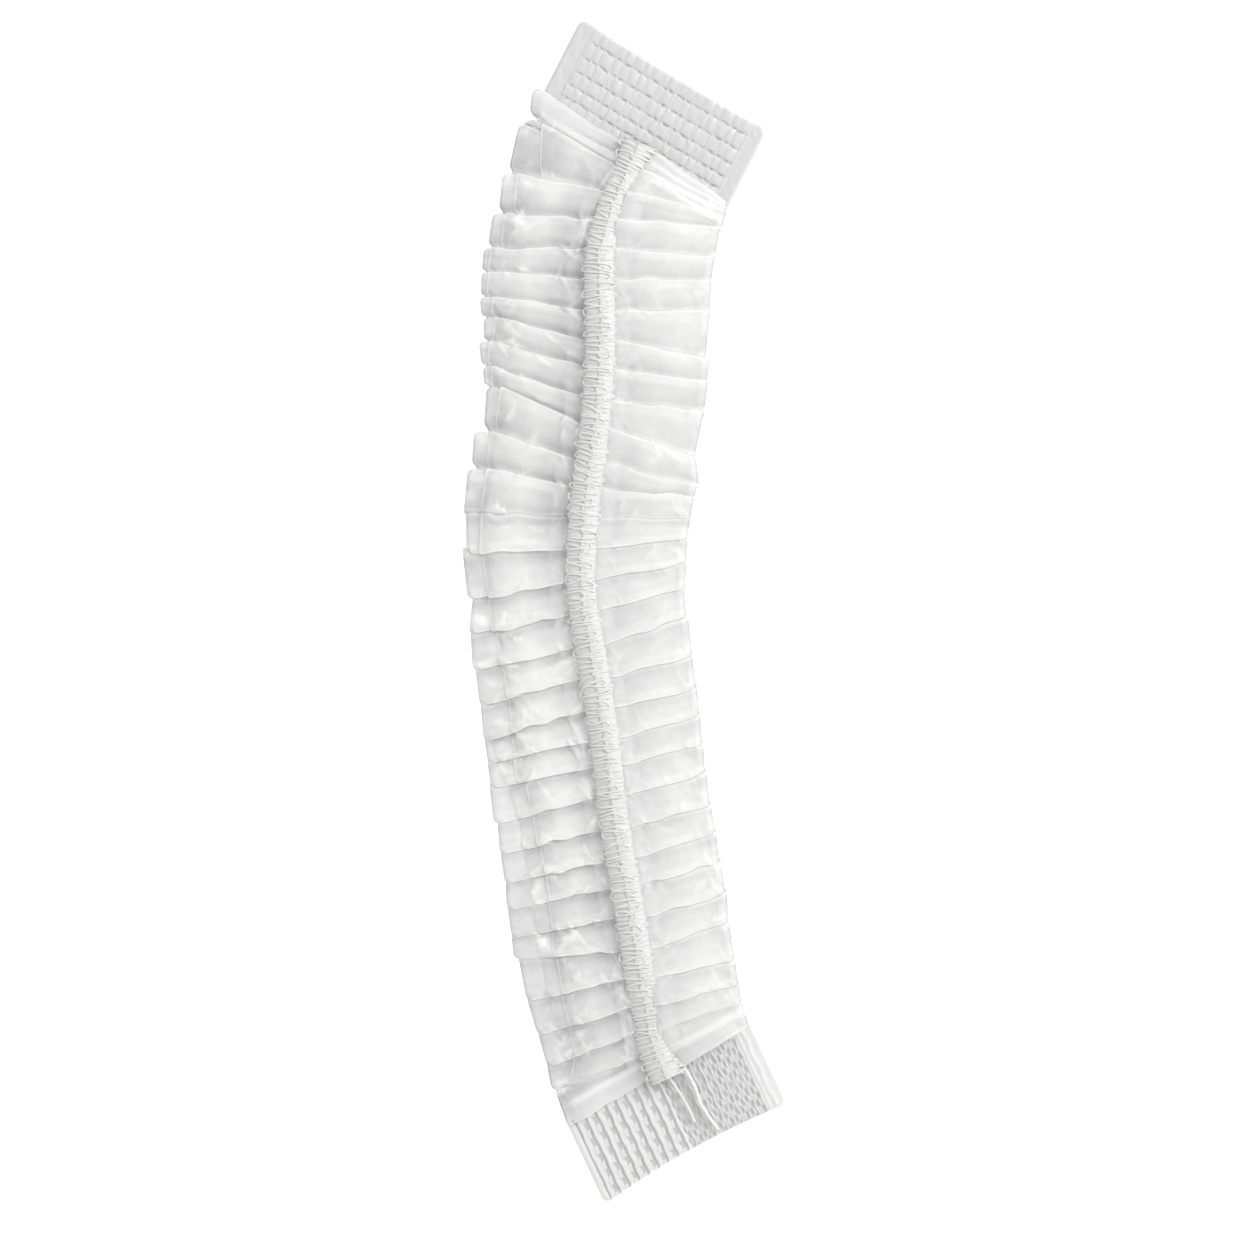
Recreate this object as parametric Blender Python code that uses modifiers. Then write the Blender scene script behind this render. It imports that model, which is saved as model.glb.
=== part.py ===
"""Disposable shower cap of thin plastic film, folded flat to a strip.

The film is one long sheet. It is folded lengthwise in four layers with a gusset down each side, and two
elastic hems gather it crosswise into ruffles. The hems lie side by side in a slit along the top, and both
ends are welded flat. Metres, +Z up, +Y towards the upper end, lying on z = 0.
"""
import math
from collections import namedtuple

import bmesh
import bpy
from mathutils import Matrix, Vector

# Film
FILM_LENGTH = 0.172          # along the strip, between the edges of the two end flaps
STRIP_WIDTH = 0.042          # across the strip, between the folds of its sides
FILM_WALL = 0.001
LAYER_GAP = 0.0005           # clear height between two layers in a valley
TOP_EASE = 0.0005            # extra height under the ruffled top layer
RUFFLE_HEIGHT = 0.0020       # rise of the top layer from a valley to its ridge
RUFFLE_LEAN = 0.0005         # how far a ridge leans past its own valley
LEFT_STEP = 0.0022           # how far the lower fold stands out past the upper one, left side
RIGHT_STEP = 0.0009          # the same on the right side
NOTCH = 0.0006               # how far a valley stops short of its ruffle at the side folds
END_TAPER = 0.024            # length over which the stack thins towards an end
END_THINNING = 0.80          # height of the stack at its ends, as a share of its height in the middle

# Hems and elastic
HEM_WIDTH = 0.0030           # one hem, across
HEM_HEIGHT = 0.0034          # one hem, top to bottom
HEM_RISE = 0.0008            # the hems' centre line over the valleys of the top layer
HEM_SIDES = 6
GATHER_PITCH = 0.0028        # the photo's fine gathers, taken three or four at a time
GATHER_DEPTH = 0.00025
ELASTIC_DIAMETER = 0.0008
BORE_PLAY = 0.0003           # clearance round the elastic in its hem

# End welds
WELD_INSET = 0.00175         # how far a weld stays inside the strip's width at each side
WELD_REACH = 0.0150          # from the film's flap out to the outer edge
WELD_OVERLAP = 0.0030        # the part of the weld under the film's flap
FLAP_DEPTH = 0.0026          # from a flap's edge to where it stands clear of the weld
WELD_THICKNESS = 0.0010
WELD_CORNER = 0.0016
EMBOSS_HEIGHT = 0.0003
EMBOSS_WIDTH = 0.0012
EMBOSS_MARGIN = 0.0028       # smooth border round the embossing
ROW_PITCH = 0.0029           # embossed rows of the top weld
RIB_PITCH = 0.0023           # embossed ribs of the bottom weld

CLEARANCE = 0.0003           # between neighbouring pieces
FOLD_PLAY = 0.00003          # under the film, for the mitred edges of its lowest folds

HALF_LENGTH = FILM_LENGTH / 2
HALF_WIDTH = STRIP_WIDTH / 2
HEM_SPACING = HEM_WIDTH + CLEARANCE
SLIT = HEM_SPACING + HEM_WIDTH + 2 * CLEARANCE
WELD_LENGTH = STRIP_WIDTH - 2 * WELD_INSET
WELD_TOP = WELD_THICKNESS + EMBOSS_HEIGHT
SETBACK = WELD_OVERLAP + 4 * CLEARANCE   # from a flap's edge to the end of the layers under it
TURN_FOLD = 12               # the fold where the ridges change from leaning up to leaning down
SETTLED_FOLD = 3             # the fold, counted from an end, where the lower layers lie undisturbed
THREAD_STEPS = 44            # stretches of a thread inside its hem
CORNER_STEPS = 4             # faces round a corner of a weld
TANGENT_STEP = 0.005         # share of half the film's length over which a direction is taken
SHOULDER_CREST = 0.3         # rise of an end flap behind its edge, as a share of the ruffle height

# The line between the two hems. Shares: along of half the film's length, across of half the strip's width.
SpinePoint = namedtuple("SpinePoint", "along across")
SPINE = (
    SpinePoint(1.00, 0.13),
    SpinePoint(0.88, -0.08),
    SpinePoint(0.78, -0.20),
    SpinePoint(0.60, -0.20),
    SpinePoint(0.40, -0.25),
    SpinePoint(0.20, -0.35),
    SpinePoint(0.05, -0.37),
    SpinePoint(-0.10, -0.28),
    SpinePoint(-0.25, -0.18),
    SpinePoint(-0.45, -0.08),
    SpinePoint(-0.65, 0.06),
    SpinePoint(-0.85, 0.19),
    SpinePoint(-0.95, 0.28),
    SpinePoint(-1.00, 0.37),
)

# One row for each ruffle's fold, from the upper end to the lower. Shares: along of half the film's length, the
# swing of each outer end towards the upper end and its reach from the spine of half the strip's width, and
# crest of the ruffle height.
Fold = namedtuple("Fold", "along left_swing right_swing left_reach right_reach crest")
FOLDS = (
    Fold(1.000, 0.50, -0.50, 0.94, 0.79, 0.00),
    Fold(0.915, 0.28, -0.44, 1.02, 0.90, 0.60),
    Fold(0.843, 0.06, -0.28, 1.04, 1.00, 0.90),
    Fold(0.780, 0.00, -0.15, 1.01, 1.02, 1.00),
    Fold(0.713, 0.07, -0.02, 1.03, 0.99, 0.90),
    Fold(0.647, 0.13, 0.00, 1.05, 0.98, 0.90),
    Fold(0.582, 0.21, -0.15, 1.04, 0.96, 1.00),
    Fold(0.524, 0.22, -0.06, 1.06, 0.95, 0.85),
    Fold(0.455, 0.29, -0.11, 1.01, 0.96, 0.90),
    Fold(0.397, 0.34, -0.25, 0.97, 0.94, 1.00),
    Fold(0.323, 0.27, -0.21, 1.01, 0.97, 1.00),
    Fold(0.261, 0.18, -0.05, 1.04, 0.98, 1.00),
    Fold(0.203, 0.04, 0.00, 1.01, 0.95, 0.00),
    Fold(0.134, -0.04, 0.09, 1.01, 0.94, 1.00),
    Fold(0.067, -0.18, 0.15, 1.02, 0.93, 1.00),
    Fold(-0.004, -0.18, 0.21, 1.01, 0.88, 0.90),
    Fold(-0.075, -0.21, 0.25, 1.06, 0.86, 1.00),
    Fold(-0.147, -0.23, 0.21, 1.06, 0.85, 1.00),
    Fold(-0.211, -0.25, 0.19, 1.07, 0.85, 1.00),
    Fold(-0.278, -0.20, 0.23, 1.05, 0.85, 0.85),
    Fold(-0.336, -0.18, 0.21, 1.04, 0.85, 0.85),
    Fold(-0.401, -0.23, 0.22, 1.04, 0.84, 1.00),
    Fold(-0.470, -0.21, 0.23, 1.02, 0.83, 0.95),
    Fold(-0.534, -0.23, 0.25, 1.04, 0.84, 0.95),
    Fold(-0.593, -0.21, 0.22, 1.06, 0.84, 0.90),
    Fold(-0.662, -0.18, 0.22, 1.07, 0.85, 0.90),
    Fold(-0.733, -0.07, 0.27, 1.08, 0.83, 0.80),
    Fold(-0.791, -0.20, 0.18, 1.05, 0.84, 0.95),
    Fold(-0.851, -0.27, 0.22, 1.00, 0.83, 0.90),
    Fold(-0.918, -0.36, 0.33, 0.94, 0.80, 0.60),
    Fold(-1.000, -0.43, 0.38, 0.92, 0.66, 0.00),
)

# The folded section of one side, from the slit down to the middle of the underside. Layers count from the
# underside (0) to the top (3), and halves are the fold edges between two layers. Reach is a share of the way
# from the slit to the side fold, rise of the ruffle height, and left and right scale that rise on each side.
SectionPoint = namedtuple("SectionPoint", "layer reach rise left right")
SECTION = (
    SectionPoint(3.0, 0.00, 0.35, 1.0, 1.0),
    SectionPoint(3.0, 0.32, 1.00, 1.0, 0.6),
    SectionPoint(3.0, 0.66, 1.00, 1.0, 0.6),
    SectionPoint(3.0, 0.97, 0.85, 1.0, 0.6),
    SectionPoint(2.5, 1.00, 0.65, 1.0, 0.8),
    SectionPoint(2.0, 0.97, 0.55, 1.0, 0.8),
    SectionPoint(2.0, 0.20, 0.50, 1.0, 0.8),
    SectionPoint(1.0, 0.20, 0.40, 1.0, 1.0),
    SectionPoint(1.0, 0.97, 0.35, 1.0, 1.0),
    SectionPoint(0.5, 1.00, 0.30, 1.0, 1.0),
    SectionPoint(0.0, 0.97, 0.25, 1.0, 1.0),
)

# The two end welds. Angles are in degrees, against the X axis. Shift is a share of the weld's length, along
# its outer edge from the end of the spine.
Weld = namedtuple("Weld", "end angle length_share shift")
TOP_WELD = Weld(1, -31.0, 1.00, -0.01)
BOTTOM_WELD = Weld(-1, 29.3, 0.98, -0.03)

# The elastic tails on the bottom weld. Shares: aside of half the strip's width along the weld's outer edge,
# out of the weld's reach.
TailPoint = namedtuple("TailPoint", "aside out")
LEFT_TAIL = (
    TailPoint(0.02, 0.22),
    TailPoint(0.04, 0.50),
    TailPoint(0.00, 0.69),
)
RIGHT_TAIL = (
    TailPoint(0.13, 0.22),
    TailPoint(0.12, 0.58),
    TailPoint(0.15, 0.90),
)

FILM_COLOUR = (0.72, 0.72, 0.72, 1.0)
HEM_COLOUR = (0.78, 0.78, 0.76, 1.0)
ELASTIC_COLOUR = (0.86, 0.86, 0.84, 1.0)
WELD_COLOUR = (0.70, 0.70, 0.70, 1.0)


def smoothstep(value):
    """Ease from 0 to 1."""
    value = min(max(value, 0.0), 1.0)
    return value * value * (3 - 2 * value)


def spline(points, value, key):
    """The point at a value of the key coordinate, on a smooth curve through rows that run down in it."""
    last = len(points) - 2
    index = next((i for i in range(last) if value >= key(points[i + 1])), last)
    start, end = points[index], points[index + 1]
    before = points[max(index - 1, 0)]
    after = points[min(index + 2, len(points) - 1)]
    t = (value - key(start)) / (key(end) - key(start))
    return [
        0.5 * (2 * b + (c - a) * t + (2 * a - 5 * b + 4 * c - d) * t * t + (3 * b - a - 3 * c + d) * t ** 3)
        for a, b, c, d in zip(before, start, end, after)
    ]


def spine_point(along):
    """The line between the hems at a share of half the film's length, seen from above."""
    across = spline(SPINE, along, lambda row: row.along)[1]
    return Vector((across * HALF_WIDTH, along * HALF_LENGTH, 0))


def spine_tangent(along):
    """The unit direction of that line towards the upper end."""
    ahead = spine_point(min(along + TANGENT_STEP, 1))
    return (ahead - spine_point(max(along - TANGENT_STEP, -1))).normalized()


def spine_side(along):
    """The unit direction across that line, to the right."""
    tangent = spine_tangent(along)
    return Vector((tangent.y, -tangent.x, 0))


def outward(weld):
    """The unit direction from the film to the outer edge of a weld."""
    angle = math.radians(weld.angle)
    return Vector((-math.sin(angle), math.cos(angle), 0)) * weld.end


def aside(weld):
    """The unit direction along the outer edge of a weld, to the right."""
    angle = math.radians(weld.angle)
    return Vector((math.cos(angle), math.sin(angle), 0))


def end_ease(along):
    """0 at an end of the film, 1 where the stack has its full height."""
    return smoothstep((1 - abs(along)) * HALF_LENGTH / END_TAPER)


def wave_ease(along):
    """0 near an end of the film, where the lower layers lie flat, 1 where they wave with the ruffles."""
    return smoothstep((1 - abs(along)) * HALF_LENGTH / END_TAPER - 0.5)


def mean_fold(first, second):
    """The fold line half way between two rows."""
    return Fold(*((a + b) / 2 for a, b in zip(first, second)))


Station = namedtuple("Station", "top low crest")


def stations():
    """Stations along the film, from the upper end to the lower: a valley and a ridge for each fold.

    In the top layer a ridge lies over its own fold line and leans towards the nearer end. In the layers below
    it lies half way to the next fold line. A valley ends a notch short of the ruffle that it belongs to.
    """
    rows = []
    last = len(FOLDS) - 1
    notch = NOTCH / HALF_WIDTH
    for index, fold in enumerate(FOLDS):
        lean = 1 if index < TURN_FOLD else -1
        inner = FOLDS[min(max(index + lean, 0), last)]
        notched = fold._replace(left_reach=inner.left_reach - notch, right_reach=inner.right_reach - notch)
        valley = Station(notched, notched, 0.0)
        if index in (0, last):
            edge = Station(fold, fold, 0.0)
            back = fold._replace(along=fold.along - lean * FLAP_DEPTH / HALF_LENGTH)
            shoulder = Station(back, back, SHOULDER_CREST)
            rows += [edge, shoulder] if index == 0 else [shoulder, edge]
        elif index == TURN_FOLD:
            rows.append(valley)
        else:
            leaning = fold._replace(along=fold.along + lean * RUFFLE_LEAN / HALF_LENGTH)
            ridge = Station(leaning, mean_fold(fold, FOLDS[index + lean]), fold.crest)
            rows += [valley, ridge] if index < TURN_FOLD else [ridge, valley]
    return rows


def layer_height(layer, along):
    """Height of a layer's centre in a valley. The stack thins towards the ends."""
    full = layer * (FILM_WALL + LAYER_GAP) + max(layer - 2, 0) * TOP_EASE
    thinned = full * (END_THINNING + (1 - END_THINNING) * end_ease(along))
    return FILM_WALL / 2 + FOLD_PLAY + thinned


def fold_place(fold, point, side):
    """Where a point of the section lies on a fold line, seen from above."""
    if side < 0:
        swing, reach, step = fold.left_swing, fold.left_reach, LEFT_STEP
    else:
        swing, reach, step = fold.right_swing, fold.right_reach, RIGHT_STEP
    across = Vector((side * reach, swing, 0)) * HALF_WIDTH
    inner = SLIT / 2 / across.dot(spine_side(fold.along) * side)
    inset = step * min(max(point.layer - 1, 0), 1) / across.length
    return spine_point(fold.along) + across * (inner + (1 - inset - inner) * point.reach)


def drawn_in(place, edge, base, end):
    """A point of the lower layers near an end, drawn in so that they stop short of the weld."""
    way = base - edge
    share = (place - edge).dot(way) / way.length_squared
    return place - outward(end) * SETBACK * (1 - min(max(share, 0), 1))


def end_rows(along):
    """The weld at the nearer end, its edge's fold line, and the one where the layers lie undisturbed."""
    if along > 0:
        return TOP_WELD, FOLDS[0], FOLDS[SETTLED_FOLD]
    return BOTTOM_WELD, FOLDS[-1], FOLDS[-1 - SETTLED_FOLD]


def film_point(station, point, side):
    """One point of the film: side is -1 on the left and 1 on the right."""
    rise = station.crest * RUFFLE_HEIGHT * point.rise * (point.left if side < 0 else point.right)
    top, low = station.top, station.low
    top_height = layer_height(3, top.along) + rise
    if abs(top.along) >= 1:
        top_height = WELD_TOP + CLEARANCE + FILM_WALL / 2
    low_height = layer_height(min(point.layer, 2), low.along) + rise * wave_ease(low.along)
    end, edge, base = end_rows(low.along)
    low_place = drawn_in(fold_place(low, point, side), fold_place(edge, point, side),
                         fold_place(base, point, side), end)
    top_share = min(max(point.layer - 2, 0), 1)
    place = low_place.lerp(fold_place(top, point, side), top_share)
    return Vector((place.x, place.y, low_height + (top_height - low_height) * top_share))


def middle_point(station):
    """The film's underside below the slit."""
    fold = station.low
    end, edge, base = end_rows(fold.along)
    place = drawn_in(spine_point(fold.along), spine_point(edge.along), spine_point(base.along), end)
    rise = station.crest * RUFFLE_HEIGHT * SECTION[-1].rise * wave_ease(fold.along)
    return Vector((place.x, place.y, layer_height(0, fold.along) + rise))


def new_material(name, colour, roughness):
    """A plain plastic finish."""
    material = bpy.data.materials.new(name)
    material.use_nodes = True
    shader = material.node_tree.nodes["Principled BSDF"]
    shader.inputs["Base Color"].default_value = colour
    shader.inputs["Roughness"].default_value = roughness
    shader.inputs["Metallic"].default_value = 0.0
    return material


def new_object(name, data, collection):
    """An object in a collection."""
    thing = bpy.data.objects.new(name, data)
    collection.objects.link(thing)
    return thing


def mesh_from_rows(name, rows, closed=False, capped=False):
    """A mesh of quads between rows of points, each row a line or a closed ring."""
    shape = bmesh.new()
    grid = [[shape.verts.new(point) for point in row] for row in rows]
    for upper, lower in zip(grid, grid[1:]):
        count = len(upper)
        for k in range(count if closed else count - 1):
            n = (k + 1) % count
            shape.faces.new((upper[k], lower[k], lower[n], upper[n]))
    if capped:
        shape.faces.new(grid[0])
        shape.faces.new(reversed(grid[-1]))
    bmesh.ops.recalc_face_normals(shape, faces=shape.faces)
    mesh = bpy.data.meshes.new(name)
    shape.to_mesh(mesh)
    shape.free()
    return mesh


def make_film(collection):
    """The film: an open folded sheet with a wall."""
    rows = []
    for station in stations():
        left = [film_point(station, point, -1) for point in SECTION]
        right = [film_point(station, point, 1) for point in SECTION]
        rows.append(left + [middle_point(station)] + right[::-1])
    film = new_object("pleated_film", mesh_from_rows("pleated_film", rows), collection)
    wall = film.modifiers.new("film wall", "SOLIDIFY")
    wall.thickness = FILM_WALL
    wall.offset = 0
    wall.use_even_offset = True
    wall.use_quality_normals = True
    film.data.materials.append(new_material("film", FILM_COLOUR, 0.35))
    return film


def hem_point(along, side):
    """The centre of a hem, lying between the film's edges and coming down onto the welds at its ends."""
    place = spine_point(along) + spine_side(along) * side * HEM_SPACING / 2
    low = WELD_TOP + CLEARANCE + HEM_HEIGHT / 2
    high = layer_height(3, 0) + HEM_RISE
    return Vector((place.x, place.y, low + (high - low) * end_ease(along)))


def hem_rows(side):
    """Rings of a hem, one on each gather's crest and one in each groove."""
    gathers = round(FILM_LENGTH / GATHER_PITCH)
    rows = []
    for step in range(2 * gathers + 1):
        along = 1 - step / gathers
        depth = GATHER_DEPTH if step % 2 == 0 else 0
        centre = hem_point(along, side)
        ring = []
        for k in range(HEM_SIDES):
            angle = 2 * math.pi * k / HEM_SIDES
            width = math.cos(angle) * (HEM_WIDTH / 2 - depth)
            height = math.sin(angle) * (HEM_HEIGHT / 2 - depth)
            ring.append(centre + spine_side(along) * width + Vector((0, 0, height)))
        rows.append(ring)
    return rows


def thread_route(side):
    """The elastic's route through its hem."""
    return [hem_point(1 - 2 * k / THREAD_STEPS, side) for k in range(THREAD_STEPS + 1)]


def make_tube(name, route, diameter, collection):
    """A tube along a route, with closed ends."""
    curve = bpy.data.curves.new(name, "CURVE")
    curve.dimensions = "3D"
    curve.bevel_depth = diameter / 2
    curve.bevel_resolution = 1
    curve.use_fill_caps = True
    line = curve.splines.new("POLY")
    line.points.add(len(route) - 1)
    for point, place in zip(line.points, route):
        point.co = (*place, 1)
    return new_object(name, curve, collection)


def curve_to_mesh(curve):
    """The mesh of a curve object, with its caps welded on."""
    depsgraph = bpy.context.evaluated_depsgraph_get()
    mesh = bpy.data.meshes.new_from_object(curve.evaluated_get(depsgraph))
    shape = bmesh.new()
    shape.from_mesh(mesh)
    bmesh.ops.remove_doubles(shape, verts=shape.verts, dist=1e-6)
    shape.to_mesh(mesh)
    shape.free()
    thing = new_object(curve.name, mesh, curve.users_collection[0])
    name = curve.name
    thing.matrix_world = curve.matrix_world
    bpy.data.objects.remove(curve)
    thing.name = name
    return thing


def as_cutter(thing):
    """Show an object as a cutter and leave it out of the model."""
    thing.hide_render = True
    thing.display_type = "WIRE"


def make_bore(name, side, cutters):
    """The hole through a hem, run out past both of its ends."""
    route = thread_route(side)
    route.insert(0, route[0] + spine_tangent(1) * HEM_WIDTH)
    route.append(route[-1] - spine_tangent(-1) * HEM_WIDTH)
    bore = curve_to_mesh(make_tube(name, route, ELASTIC_DIAMETER + 2 * BORE_PLAY, cutters))
    as_cutter(bore)
    return bore


def make_hem(name, side, collection, cutters):
    """A gathered hem: a tunnel of bunched film, bored for its elastic."""
    hem = new_object(name, mesh_from_rows(name, hem_rows(side), closed=True, capped=True), collection)
    cut = hem.modifiers.new("elastic bore", "BOOLEAN")
    cut.operation = "DIFFERENCE"
    cut.object = make_bore(name + " bore", side, cutters)
    hem.data.shade_smooth()
    hem.data.materials.append(new_material(name + " film", HEM_COLOUR, 0.4))
    return hem


def make_elastic(name, side, tail, collection):
    """An elastic thread in its hem, with its tail laid over the bottom weld."""
    route = thread_route(side)
    for point in tail:
        place = spine_point(-1) + aside(BOTTOM_WELD) * point.aside * HALF_WIDTH
        place += outward(BOTTOM_WELD) * point.out * WELD_REACH
        place.z = WELD_TOP + CLEARANCE + ELASTIC_DIAMETER / 2
        route.append(place)
    elastic = make_tube(name, route, ELASTIC_DIAMETER, collection)
    elastic.data.materials.append(new_material(name + " thread", ELASTIC_COLOUR, 0.5))
    return elastic


def rounded_outline(corners, radius):
    """An outline with each corner turned into an arc of a few points."""
    outline = []
    for index, corner in enumerate(corners):
        back = (corners[index - 1] - corner).normalized()
        ahead = (corners[(index + 1) % len(corners)] - corner).normalized()
        half = back.angle(ahead) / 2
        centre = corner + (back + ahead).normalized() * radius / math.sin(half)
        first = corner + back * radius / math.tan(half) - centre
        second = corner + ahead * radius / math.tan(half) - centre
        turn = first.angle_signed(second)
        for step in range(CORNER_STEPS + 1):
            arm = first.copy()
            arm.rotate(Matrix.Rotation(-turn * step / CORNER_STEPS, 2))
            outline.append(centre + arm)
    return outline


def make_plate(name, weld, collection):
    """The flat plate of a weld, as a filled outline."""
    length = WELD_LENGTH * weld.length_share
    corners = [
        Vector((-length / 2, -WELD_OVERLAP)),
        Vector((length / 2, -WELD_OVERLAP)),
        Vector((length / 2, WELD_REACH)),
        Vector((-length / 2, WELD_REACH)),
    ]
    curve = bpy.data.curves.new(name, "CURVE")
    curve.dimensions = "2D"
    curve.fill_mode = "BOTH"
    curve.extrude = WELD_THICKNESS / 2
    line = curve.splines.new("POLY")
    outline = [Vector((*point, 0)) for point in rounded_outline(corners, WELD_CORNER)]
    line.points.add(len(outline) - 1)
    for point, place in zip(line.points, outline):
        point.co = (*place, 1)
    line.use_cyclic_u = True
    plate = new_object(name, curve, collection)
    plate.location.z = WELD_THICKNESS / 2
    bpy.context.view_layer.update()
    return curve_to_mesh(plate)


def make_ribs(name, ribs, cutters):
    """Embossed bars: each is given by its middle, its length and whether it runs outwards."""
    shape = bmesh.new()
    sink = WELD_THICKNESS / 2
    for middle, length, runs_out in ribs:
        bar = bmesh.ops.create_cube(shape, size=1)["verts"]
        size = (EMBOSS_WIDTH, length) if runs_out else (length, EMBOSS_WIDTH)
        bmesh.ops.scale(shape, vec=(*size, EMBOSS_HEIGHT + sink), verts=bar)
        bmesh.ops.translate(shape, vec=(*middle, WELD_TOP - (EMBOSS_HEIGHT + sink) / 2), verts=bar)
    mesh = bpy.data.meshes.new(name)
    shape.to_mesh(mesh)
    shape.free()
    return new_object(name, mesh, cutters)


def make_weld(name, weld, runs_out, pitch, collection, cutters):
    """An end weld: a plate with embossed rows along it or ribs that run outwards."""
    plate = make_plate(name, weld, collection)
    length = WELD_LENGTH * weld.length_share - 2 * EMBOSS_MARGIN
    depth = WELD_REACH - EMBOSS_MARGIN
    room = (length if runs_out else depth) - EMBOSS_WIDTH
    count = int(room / pitch) + 1
    ribs = []
    for k in range(count):
        place = (k - (count - 1) / 2) * pitch
        if runs_out:
            ribs.append(((place, depth / 2), depth, True))
        else:
            ribs.append(((0, depth / 2 + place), length, False))
    bars = make_ribs(name + " bars", ribs, cutters)
    as_cutter(bars)
    raised = plate.modifiers.new("embossing", "BOOLEAN")
    raised.operation = "UNION"
    raised.object = bars
    spot = spine_point(weld.end) + aside(weld) * weld.shift * WELD_LENGTH
    half_turn = 0 if weld.end > 0 else math.pi
    turn = math.radians(weld.angle) + half_turn
    for thing in (plate, bars):
        thing.location += spot
        thing.rotation_euler.z = turn
    plate.data.materials.append(new_material(name + " film", WELD_COLOUR, 0.3))
    return plate


def clear_scene():
    """Remove what the new file starts with."""
    for thing in list(bpy.data.objects):
        bpy.data.objects.remove(thing)


def main():
    """Build the cap."""
    clear_scene()
    cap = bpy.data.collections.new("shower_cap")
    cutters = bpy.data.collections.new("cutters")
    for collection in (cap, cutters):
        bpy.context.scene.collection.children.link(collection)
    make_film(cap)
    make_hem("left_hem", -1, cap, cutters)
    make_hem("right_hem", 1, cap, cutters)
    make_elastic("left_elastic", -1, LEFT_TAIL, cap)
    make_elastic("right_elastic", 1, RIGHT_TAIL, cap)
    make_weld("top_end_weld", TOP_WELD, False, ROW_PITCH, cap, cutters)
    make_weld("bottom_end_weld", BOTTOM_WELD, True, RIB_PITCH, cap, cutters)


main()
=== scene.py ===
# %% [markdown]
# # A disposable shower cap, folded to a strip
#
# The real object is a web of plastic film a hundredth of a millimetre thick. It is folded lengthwise in
# layers, gathered crosswise by an elastic in each long edge, and welded flat at both ends. This lesson
# dresses the imported solids with the fine film: pleats that lap over each other, two bunched hems, elastic
# tails and embossed welds. We load the frame first.

# %% Load the frame
import math
from collections import namedtuple

import bmesh
import bpy
import numpy as np
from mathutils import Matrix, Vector


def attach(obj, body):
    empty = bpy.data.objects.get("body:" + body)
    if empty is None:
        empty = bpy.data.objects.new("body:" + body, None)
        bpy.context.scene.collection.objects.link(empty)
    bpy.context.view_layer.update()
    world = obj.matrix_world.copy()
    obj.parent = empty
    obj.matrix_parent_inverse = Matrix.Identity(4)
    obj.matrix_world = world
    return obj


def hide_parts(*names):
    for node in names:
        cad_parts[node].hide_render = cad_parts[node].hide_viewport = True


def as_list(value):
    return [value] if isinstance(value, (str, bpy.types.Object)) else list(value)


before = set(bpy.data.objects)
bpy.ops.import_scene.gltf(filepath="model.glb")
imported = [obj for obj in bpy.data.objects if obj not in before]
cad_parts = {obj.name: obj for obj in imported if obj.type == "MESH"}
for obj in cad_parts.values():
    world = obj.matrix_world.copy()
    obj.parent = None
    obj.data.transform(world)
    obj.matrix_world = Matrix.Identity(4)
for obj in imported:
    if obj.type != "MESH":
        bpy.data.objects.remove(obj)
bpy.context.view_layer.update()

MM = 0.001

# %% [markdown]
# The cap was photographed from straight above, so a place on it can be given by a pixel of the photograph,
# which is 1254 pixels square. 5.4 pixels are a millimetre, and the frame's origin lies under one pixel.

# %% Places on the photograph
PHOTO_SIZE = 1254
PIXELS_PER_MM = 5.4
ORIGIN_PIXEL = (623.5, 610.5)


def metres_x(px):
    """The frame's X under a column of the photograph."""
    return (np.asarray(px, float) - ORIGIN_PIXEL[0]) / PIXELS_PER_MM * MM


def metres_y(py):
    """The frame's Y under a row of the photograph."""
    return (ORIGIN_PIXEL[1] - np.asarray(py, float)) / PIXELS_PER_MM * MM


# %% [markdown]
# The line between the two hems is a slow curve. A row of pixel pairs is enough for it: NumPy fits a smooth
# curve through them, piece by piece, so the line has no corners.

# %% The line between the hems
SPINE = (
    (147, 638), (203, 614), (249, 601), (333, 600.8), (425, 595), (518, 583.8), (588, 581.5),
    (657, 591.7), (727, 603), (820, 614.4), (913, 630), (1005, 645), (1052, 655), (1075, 665.5),
)


def on_curve(knots, values, at):
    """Values read at places between knots, on a smooth curve through them."""
    slopes = np.gradient(values, knots, axis=0)
    k = np.clip(np.searchsorted(knots, at, side="right") - 1, 0, len(knots) - 2)
    way, gap = at - knots[k], knots[k + 1] - knots[k]
    if values.ndim > 1:
        way, gap = way[:, None], gap[:, None]
    t = way / gap
    rise = (2 * t ** 3 - 3 * t ** 2 + 1) * values[k] + (3 * t ** 2 - 2 * t ** 3) * values[k + 1]
    return rise + (t ** 3 - 2 * t ** 2 + t) * gap * slopes[k] + (t ** 3 - t ** 2) * gap * slopes[k + 1]


def spine_x(py):
    """Column of the hem line at a row of the photograph."""
    rows, columns = np.array(SPINE, float).T
    return on_curve(rows, columns, np.clip(np.asarray(py, float), rows[0], rows[-1]))


print("Hem line runs from", spine_x(147).round(), "to", spine_x(1075).round(), "px")
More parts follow.
